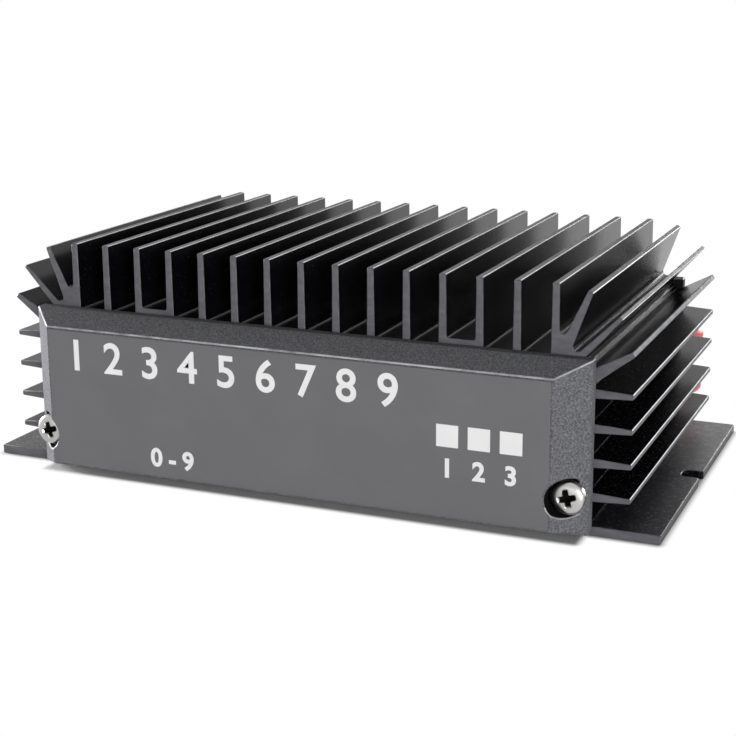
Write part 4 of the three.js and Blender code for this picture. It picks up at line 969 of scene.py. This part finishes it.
def add_socket(name, x):
    """A coax socket: threaded shell with a notched mouth, insulator, split contact, washer and nut."""
    place = (x, SOCKET_FACE, SOCKET_Z)
    insulator = [(0.0030, 0.01060), (0.0030, 0.00175), (0.0015, 0.00175), (0.0015, SOCKET_STUB_END),
                 (0.0038, SOCKET_STUB_END), (0.0038, 0.0031), (0.0060, 0.0031), (0.0060, 0.0104),
                 (0.0058, 0.0106), (0.0050, 0.01065), (0.0048, 0.01085), (0.0036, 0.01085), (0.0033, 0.01060)]
    washer = [(WASHER_BORE, -0.00165), (WASHER_BORE, -0.00215), (0.0075, -0.00215), (0.0076, -0.00205),
              (0.0076, -0.00175), (0.0075, -0.00165)]
    nut = thread_rings(NUT_BORE, -0.0022, -0.0044, STUB_PITCH)
    nut += [(0.0081, -0.0044), (NUT_CORNER, -0.0040), (NUT_CORNER, -0.0026), (0.0081, -0.0022)]
    parts = {
        "shell": (shell_mesh(f"{name}_shell", place), "plated_steel"),
        "insulator": (turned_mesh(f"{name}_insulator", insulator, place), "insulator_white"),
        "contact": (contact_mesh(f"{name}_contact", place), "brass_parts"),
        "washer": (turned_mesh(f"{name}_washer", washer, place, 144, washer_shape), "plated_steel"),
        "nut": (turned_mesh(f"{name}_nut", nut, place, 96, nut_shape), "plated_steel"),
    }
    for part, (mesh, slot) in parts.items():
        add_finished(f"{name}_socket_{part}", mesh, slot)


# What is on the circuit board.

BOARD_TOP = 0.0082
BOARD_FOOT = 0.00825
COIL_TURNS = 5
COIL_TURN_PITCH = 0.0017
COIL_TURN_STEPS = 36
COIL_RADIUS = 0.0027
COIL_WIRE = 0.00045
WINDING_STEPS = 8
RELAY_COIL_RADIUS = 0.003
RELAY_COIL_PITCH = 0.00036


def add_filter_coil(name):
    """A coil of bare wire standing on its two legs."""
    low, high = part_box(name)
    middle = (low + high) / 2
    axis_z = high.z - COIL_RADIUS - COIL_WIRE
    start_x = middle.x - COIL_TURNS * COIL_TURN_PITCH / 2
    end_x = start_x + COIL_TURNS * COIL_TURN_PITCH
    knee_z = axis_z - COIL_RADIUS - 0.0003
    points = [(start_x, middle.y, BOARD_FOOT), (start_x, middle.y, knee_z)]
    for k in range(COIL_TURNS * COIL_TURN_STEPS + 1):
        angle = math.tau * k / COIL_TURN_STEPS
        points.append((
            start_x + COIL_TURN_PITCH * k / COIL_TURN_STEPS,
            middle.y - math.sin(angle) * COIL_RADIUS,
            axis_z - math.cos(angle) * COIL_RADIUS,
        ))
    points += [(end_x, middle.y, knee_z), (end_x, middle.y, BOARD_FOOT)]
    add_finished(name, tubes_mesh(name, [points], COIL_WIRE), "copper_wire")


def add_winding(node, bore_spacing, turns, wire):
    """Turns of wire through both bores of a transformer's block."""
    low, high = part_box(node)
    middle = (low + high) / 2
    bulge = 0.00035 + wire
    climb = wire * 2.2
    points = []
    for turn in range(turns):
        height = middle.z + (turn - (turns - 1) / 2) * climb
        for side, end_y, rise in ((1, high.y, 0.0), (-1, low.y, climb)):
            for k in range(WINDING_STEPS + 1):
                swing = math.pi * k / WINDING_STEPS
                points.append((
                    middle.x + side * math.cos(swing) * bore_spacing / 2,
                    end_y + side * math.sin(swing) * bulge,
                    height + rise * k / WINDING_STEPS,
                ))
    add_piece(f"{node}_winding", tubes_mesh(f"{node}_winding", [points], wire), "copper_wire")


def add_relay_coil():
    """The relay's coil, wound with fine wire."""
    low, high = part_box("relay_coil")
    half = (high.z - low.z) / 2
    wound = (-half + 0.0004, half - 0.0004)

    def wound_shape(radius, along, angle):
        if abs(radius - RELAY_COIL_RADIUS) < SAME_PLACE:
            radius -= thread_depth(along, angle, *wound, RELAY_COIL_PITCH, 0.00012)
        return radius, along

    outside = RELAY_COIL_RADIUS
    profile = [(0.0014, half), (0.0014, -half), (outside, -half), (outside, -half + 0.0003)]
    profile += thread_rings(outside, *wound, RELAY_COIL_PITCH)
    profile += [(outside, half - 0.0003), (outside, half)]
    mesh = turned_mesh("relay_coil_wound", profile, (0, 0, 0), 40, wound_shape)
    add_finished("relay_coil", stood_up(mesh, (low + high) / 2), "copper_wire")


# The board's tracks in millimetres: x, y of each corner, drawn with straight runs.
TRACKS = (
    ((-26, 10.5), (-26, 4), (-19, 4), (-19, -17)),
    ((2, 10.5), (2, 4.5), (-13.2, 4.5)),
    ((-4.75, 8), (-4.75, 5.5), (-1, 5.5), (-1, -13), (-4, -13)),
    ((6.75, 8), (6.75, 4)),
    ((15.25, 8), (18, 8), (18, -9), (17, -12)),
    ((29, 12), (20, 12), (20, -27), (17, -27)),
    ((25.8, 12), (25.8, -20), (12.5, -20)),
    ((-22.86, -19), (-22.86, -21), (-12, -21), (-12, -19)),
    ((-25.4, -19), (-30, -19), (-30, 4)),
    ((-8, -23), (-5.5, -23)),
)
TRACK_HALF = 0.0005
TRACK_THICK = 0.00004
# Each strip stands this share of the thickness higher than the last, so that no two tops coincide.
TRACK_STEP = 0.04
# The soldered joints under the board, x, y in millimetres.
JOINTS = (
    (-26, 10.5), (2, 10.5), (29, 13), (25.8, 13), (-13.25, 9), (-4.75, 9), (6.75, 9), (15.25, 9),
    (-25.4, -18.5), (-22.86, -18.5), (-20.32, -18.5), (17, -24.6), (17, -12.8), (6.5, -18.7), (9.5, -18.7),
    (-13, -26.5), (-11, -26.5), (-13, -19.7), (-11, -19.7), (2.8, -2.9), (12.5, -2.9), (4, 1.5), (12, 1.5),
)
JOINT_PROFILE = metres([
    (0, 0.2), (0.9, 0.2), (0.9, -0.05), (0.7, -0.15), (0.4, -0.4), (0.25, -0.8), (0, -0.9),
])


def add_board_copper():
    """The board's tracks above, and its soldered joints below."""
    strips = []
    for track in TRACKS:
        corners = metres(track)
        for (x0, y0), (x1, y1) in zip(corners, corners[1:]):
            top = BOARD_TOP + TRACK_THICK * (1 + TRACK_STEP * len(strips))
            strips.append(box_mesh(
                (min(x0, x1) - TRACK_HALF, min(y0, y1) - TRACK_HALF, BOARD_TOP - TRACK_THICK),
                (max(x0, x1) + TRACK_HALF, max(y0, y1) + TRACK_HALF, top)))
    add_piece("board_tracks", joined("board_tracks", strips), "board_green", materials=["track_green"])
    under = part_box("circuit_board")[0].z
    domes = [
        stood_up(turned_mesh("joint", JOINT_PROFILE, (0, 0, 0), 20), (x, y, under))
        for x, y in metres(JOINTS)
    ]
    add_piece("board_joints", joined("board_joints", domes), "board_green", materials=["solder"])


DIODE_X = 0.017
DIODE_RADIUS = 0.0022
DIODE_LIFT = 0.0003


def add_component_marks():
    """The diode's band, and the capacitor's bare top and its stripe."""
    low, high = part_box("polarity_diode")
    axis = (DIODE_X, (low.y + high.y) / 2, BOARD_TOP + DIODE_LIFT + DIODE_RADIUS)
    band = [(DIODE_RADIUS - 0.0001, 0.0022), (DIODE_RADIUS - 0.0001, 0.0032),
            (DIODE_RADIUS + 0.00003, 0.0032), (DIODE_RADIUS + 0.00003, 0.0022)]
    add_piece("diode_band", turned_mesh("diode_band", band, axis, 48), "component_black",
              materials=["print_white"])
    low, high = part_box("electrolytic_capacitor")
    middle = (low + high) / 2
    disc = [(0.0, 0.00004), (0.0030, 0.00004), (0.0031, 0.0), (0.0031, -0.0002), (0.0, -0.0002)]
    top = stood_up(turned_mesh("capacitor_top", disc, (0, 0, 0), 48), (middle.x, middle.y, high.z))
    add_piece("capacitor_top", top, "sleeve_blue", materials=["plated_steel"])
    strip = [(0.00395, -0.0035), (0.00395, 0.0060), (0.00404, 0.0060), (0.00404, -0.0035)]
    stripe = stood_up(turned_mesh("capacitor_stripe", strip, (0, 0, 0), 8, arc=(0.5, 1.1)), middle)
    add_piece("capacitor_stripe", stripe, "sleeve_blue", materials=["print_white"])


# Wires: the points of those inside the case, as y and z, and the routes of the two supply leads.

SOCKET_WIRE = 0.0006
SOCKET_WIRE_POINTS = metres([
    (15.395, 12.2), (14.795, 12.2), (12.695, 10.65), (11.095, 9.1), (9.895, 9.1),
])
SUPPLY_WIRE_POINTS = metres([
    (24.645, 12.2), (21.895, 12.2), (19.145, 12.2), (16.72, 10.95), (14.295, 9.7), (13.095, 9.7),
])
WIRE_RADIUS = 0.0012
COIL_MIDDLE = (0.006, 0.066045)
COIL_INNER = 0.0095
COIL_PITCH = 0.0029
COIL_STEPS = 24
COIL_TAIL = 0.012
COIL_FIRST_Z = 0.0021
RED_ROUTE = metres([
    (29, 24.995, 12.2), (29, 27.445, 12.2), (29.3, 29.245, 12.2), (30.5, 31.045, 12.1),
    (32.3, 32.145, 11.9), (34.4, 32.445, 11.6), (37.4, 33.445, 11.1), (39.2, 35.845, 10.6),
    (39.2, 38.945, 9.9), (37.3, 41.645, 9.2), (34.2, 42.845, 8.4), (31.1, 41.845, 7.5),
    (29.2, 39.245, 6.6), (29.2, 36.245, 5.7), (31, 33.545, 4.7), (34, 32.445, 3.5),
    (37.1, 33.345, 2.3), (39.1, 35.745, 1.5), (39.2, 38.845, 1.25), (37.2, 41.745, 1.25),
    (34, 43.545, 1.25), (29.5, 44.645, 1.25), (25, 45.445, 1.3), (20.5, 46.245, 1.4),
    (16.5, 46.945, 1.6), (13.5, 47.345, 1.9),
])
BLACK_ROUTE = metres([
    (25.8, 24.995, 12.2), (25.8, 27.045, 12.2), (25.8, 29.045, 11.9), (25.7, 31.045, 11.3),
    (25.5, 33.045, 10.5), (25.2, 35.045, 9.7), (24.7, 37.045, 8.9), (24, 39.045, 8.3),
    (23, 40.945, 7.8), (21.7, 42.645, 7.5), (20.1, 44.045, 7.4), (18.3, 45.145, 7.5),
    (16.4, 45.945, 7.6), (14.6, 46.445, 7.8), (12.8, 46.845, 7.9),
])
TIP_LENGTH = 0.006
STRAND = 0.00024
STRAND_RING = 0.00049
STRAND_STEPS = 24


def add_wire(name, nodes, points, radius, slot, steps=12):
    """A round wire along a smooth curve through the points, in place of the CAD nodes."""
    data = bpy.data.curves.new(name, "CURVE")
    data.dimensions = "3D"
    data.bevel_depth = radius
    data.bevel_resolution = 5
    data.resolution_u = steps
    data.use_fill_caps = True
    spline = data.splines.new("BEZIER")
    spline.bezier_points.add(len(points) - 1)
    for handle, point in zip(spline.bezier_points, points):
        handle.co = point
        handle.handle_left_type = "AUTO"
        handle.handle_right_type = "AUTO"
    data.materials.append(MATERIALS[slot])
    wire = add_object(name, data)
    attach(wire, "root")
    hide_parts(*nodes)
    return wire


def add_inner_wires():
    """The supply wires and the sockets' wires inside the case."""
    wires = {
        "red_supply_wire": (0.029, SUPPLY_WIRE_POINTS, WIRE_RADIUS, "wire_red"),
        "black_supply_wire": (0.0258, SUPPLY_WIRE_POINTS, WIRE_RADIUS, "wire_black"),
        "antenna_socket_wire": (ANTENNA_X, SOCKET_WIRE_POINTS, SOCKET_WIRE, "copper_wire"),
        "radio_socket_wire": (RADIO_X, SOCKET_WIRE_POINTS, SOCKET_WIRE, "copper_wire"),
    }
    for name, (x, points, radius, slot) in wires.items():
        add_wire(f"{name}_finished", [name], [(x, y, z) for y, z in points], radius, slot)


def coil_points(turns, low, high):
    """The coil: in and out again in two layers, with its straight tail."""
    middle = turns / 2
    points = []
    for step in range(int(turns * COIL_STEPS) + 1):
        turn = step / COIL_STEPS
        angle = math.tau * turn
        radius = COIL_INNER + COIL_PITCH * abs(turn - middle)
        points.append(Vector((
            COIL_MIDDLE[0] - math.sin(angle) * radius,
            COIL_MIDDLE[1] - math.cos(angle) * radius,
            low + (high - low) * soft_step(turn, middle - 0.25, middle + 0.25),
        )))
    entry = points[0] - points[1]
    entry.z = 0
    leave = points[-1] - points[-2]
    leave.z = 0
    points.insert(0, points[0] + entry.normalized() * WIRE_RADIUS * 2)
    points.append(points[-1] + leave.normalized() * COIL_TAIL)
    return points


def strand_points(start, along, turn):
    """One strand of a bare end, wound almost once round its axis."""
    across = along.orthogonal().normalized()
    below = along.cross(across)
    points = []
    for step in range(STRAND_STEPS + 1):
        share = step / STRAND_STEPS
        angle = turn + share * math.tau * 0.9
        radial = across * math.cos(angle) + below * math.sin(angle)
        points.append(start + along * TIP_LENGTH * share + radial * STRAND_RING)
    return points


def add_bare_end(name, coil):
    """The bare strands at a lead's far end."""
    along = (coil[-1] - coil[-2]).normalized()
    start = coil[-1] + along * 0.00005
    paths = [strand_points(start, along, math.tau * k / 6) for k in range(6)]
    paths.append([start, start + along * (TIP_LENGTH + 0.0001)])
    return add_finished(name, tubes_mesh(name, paths, STRAND, 8), "copper_wire")


def add_lead(name, route, coil):
    """One wire from the grommet through its coil, as a smooth curve."""
    points = [Vector(point) for point in route] + coil
    slot = "wire_red" if name == "red_lead" else "wire_black"
    return add_wire(f"{name}_cord", [name, f"{name}_coil"], points, WIRE_RADIUS, slot, steps=3)


def add_leads():
    """Both wires of the supply lead, each with its coil and its bare end."""
    red_coil = coil_points(5.5, COIL_FIRST_Z, COIL_FIRST_Z + COIL_PITCH)
    black_coil = coil_points(6, COIL_FIRST_Z + COIL_PITCH * 2, COIL_FIRST_Z + COIL_PITCH * 3)
    red = add_lead("red_lead", RED_ROUTE, red_coil)
    black = add_lead("black_lead", BLACK_ROUTE, black_coil)
    add_bare_end("red_lead_tip", red_coil)
    add_bare_end("black_lead_tip", black_coil)


add_camera()
add_world()
add_lights()
add_floor()
dress_nodes()
break_edges()
add_screws()
add_print()
add_socket("antenna", ANTENNA_X)
add_socket("radio", RADIO_X)
add_filter_coil("filter_coil_1")
add_filter_coil("filter_coil_2")
add_winding("input_transformer", 0.0036, 4, 0.00018)
add_winding("output_transformer", 0.0050, 3, 0.00035)
add_relay_coil()
add_board_copper()
add_component_marks()
add_inner_wires()
add_leads()

bpy.context.scene.view_settings.view_transform = "Standard"
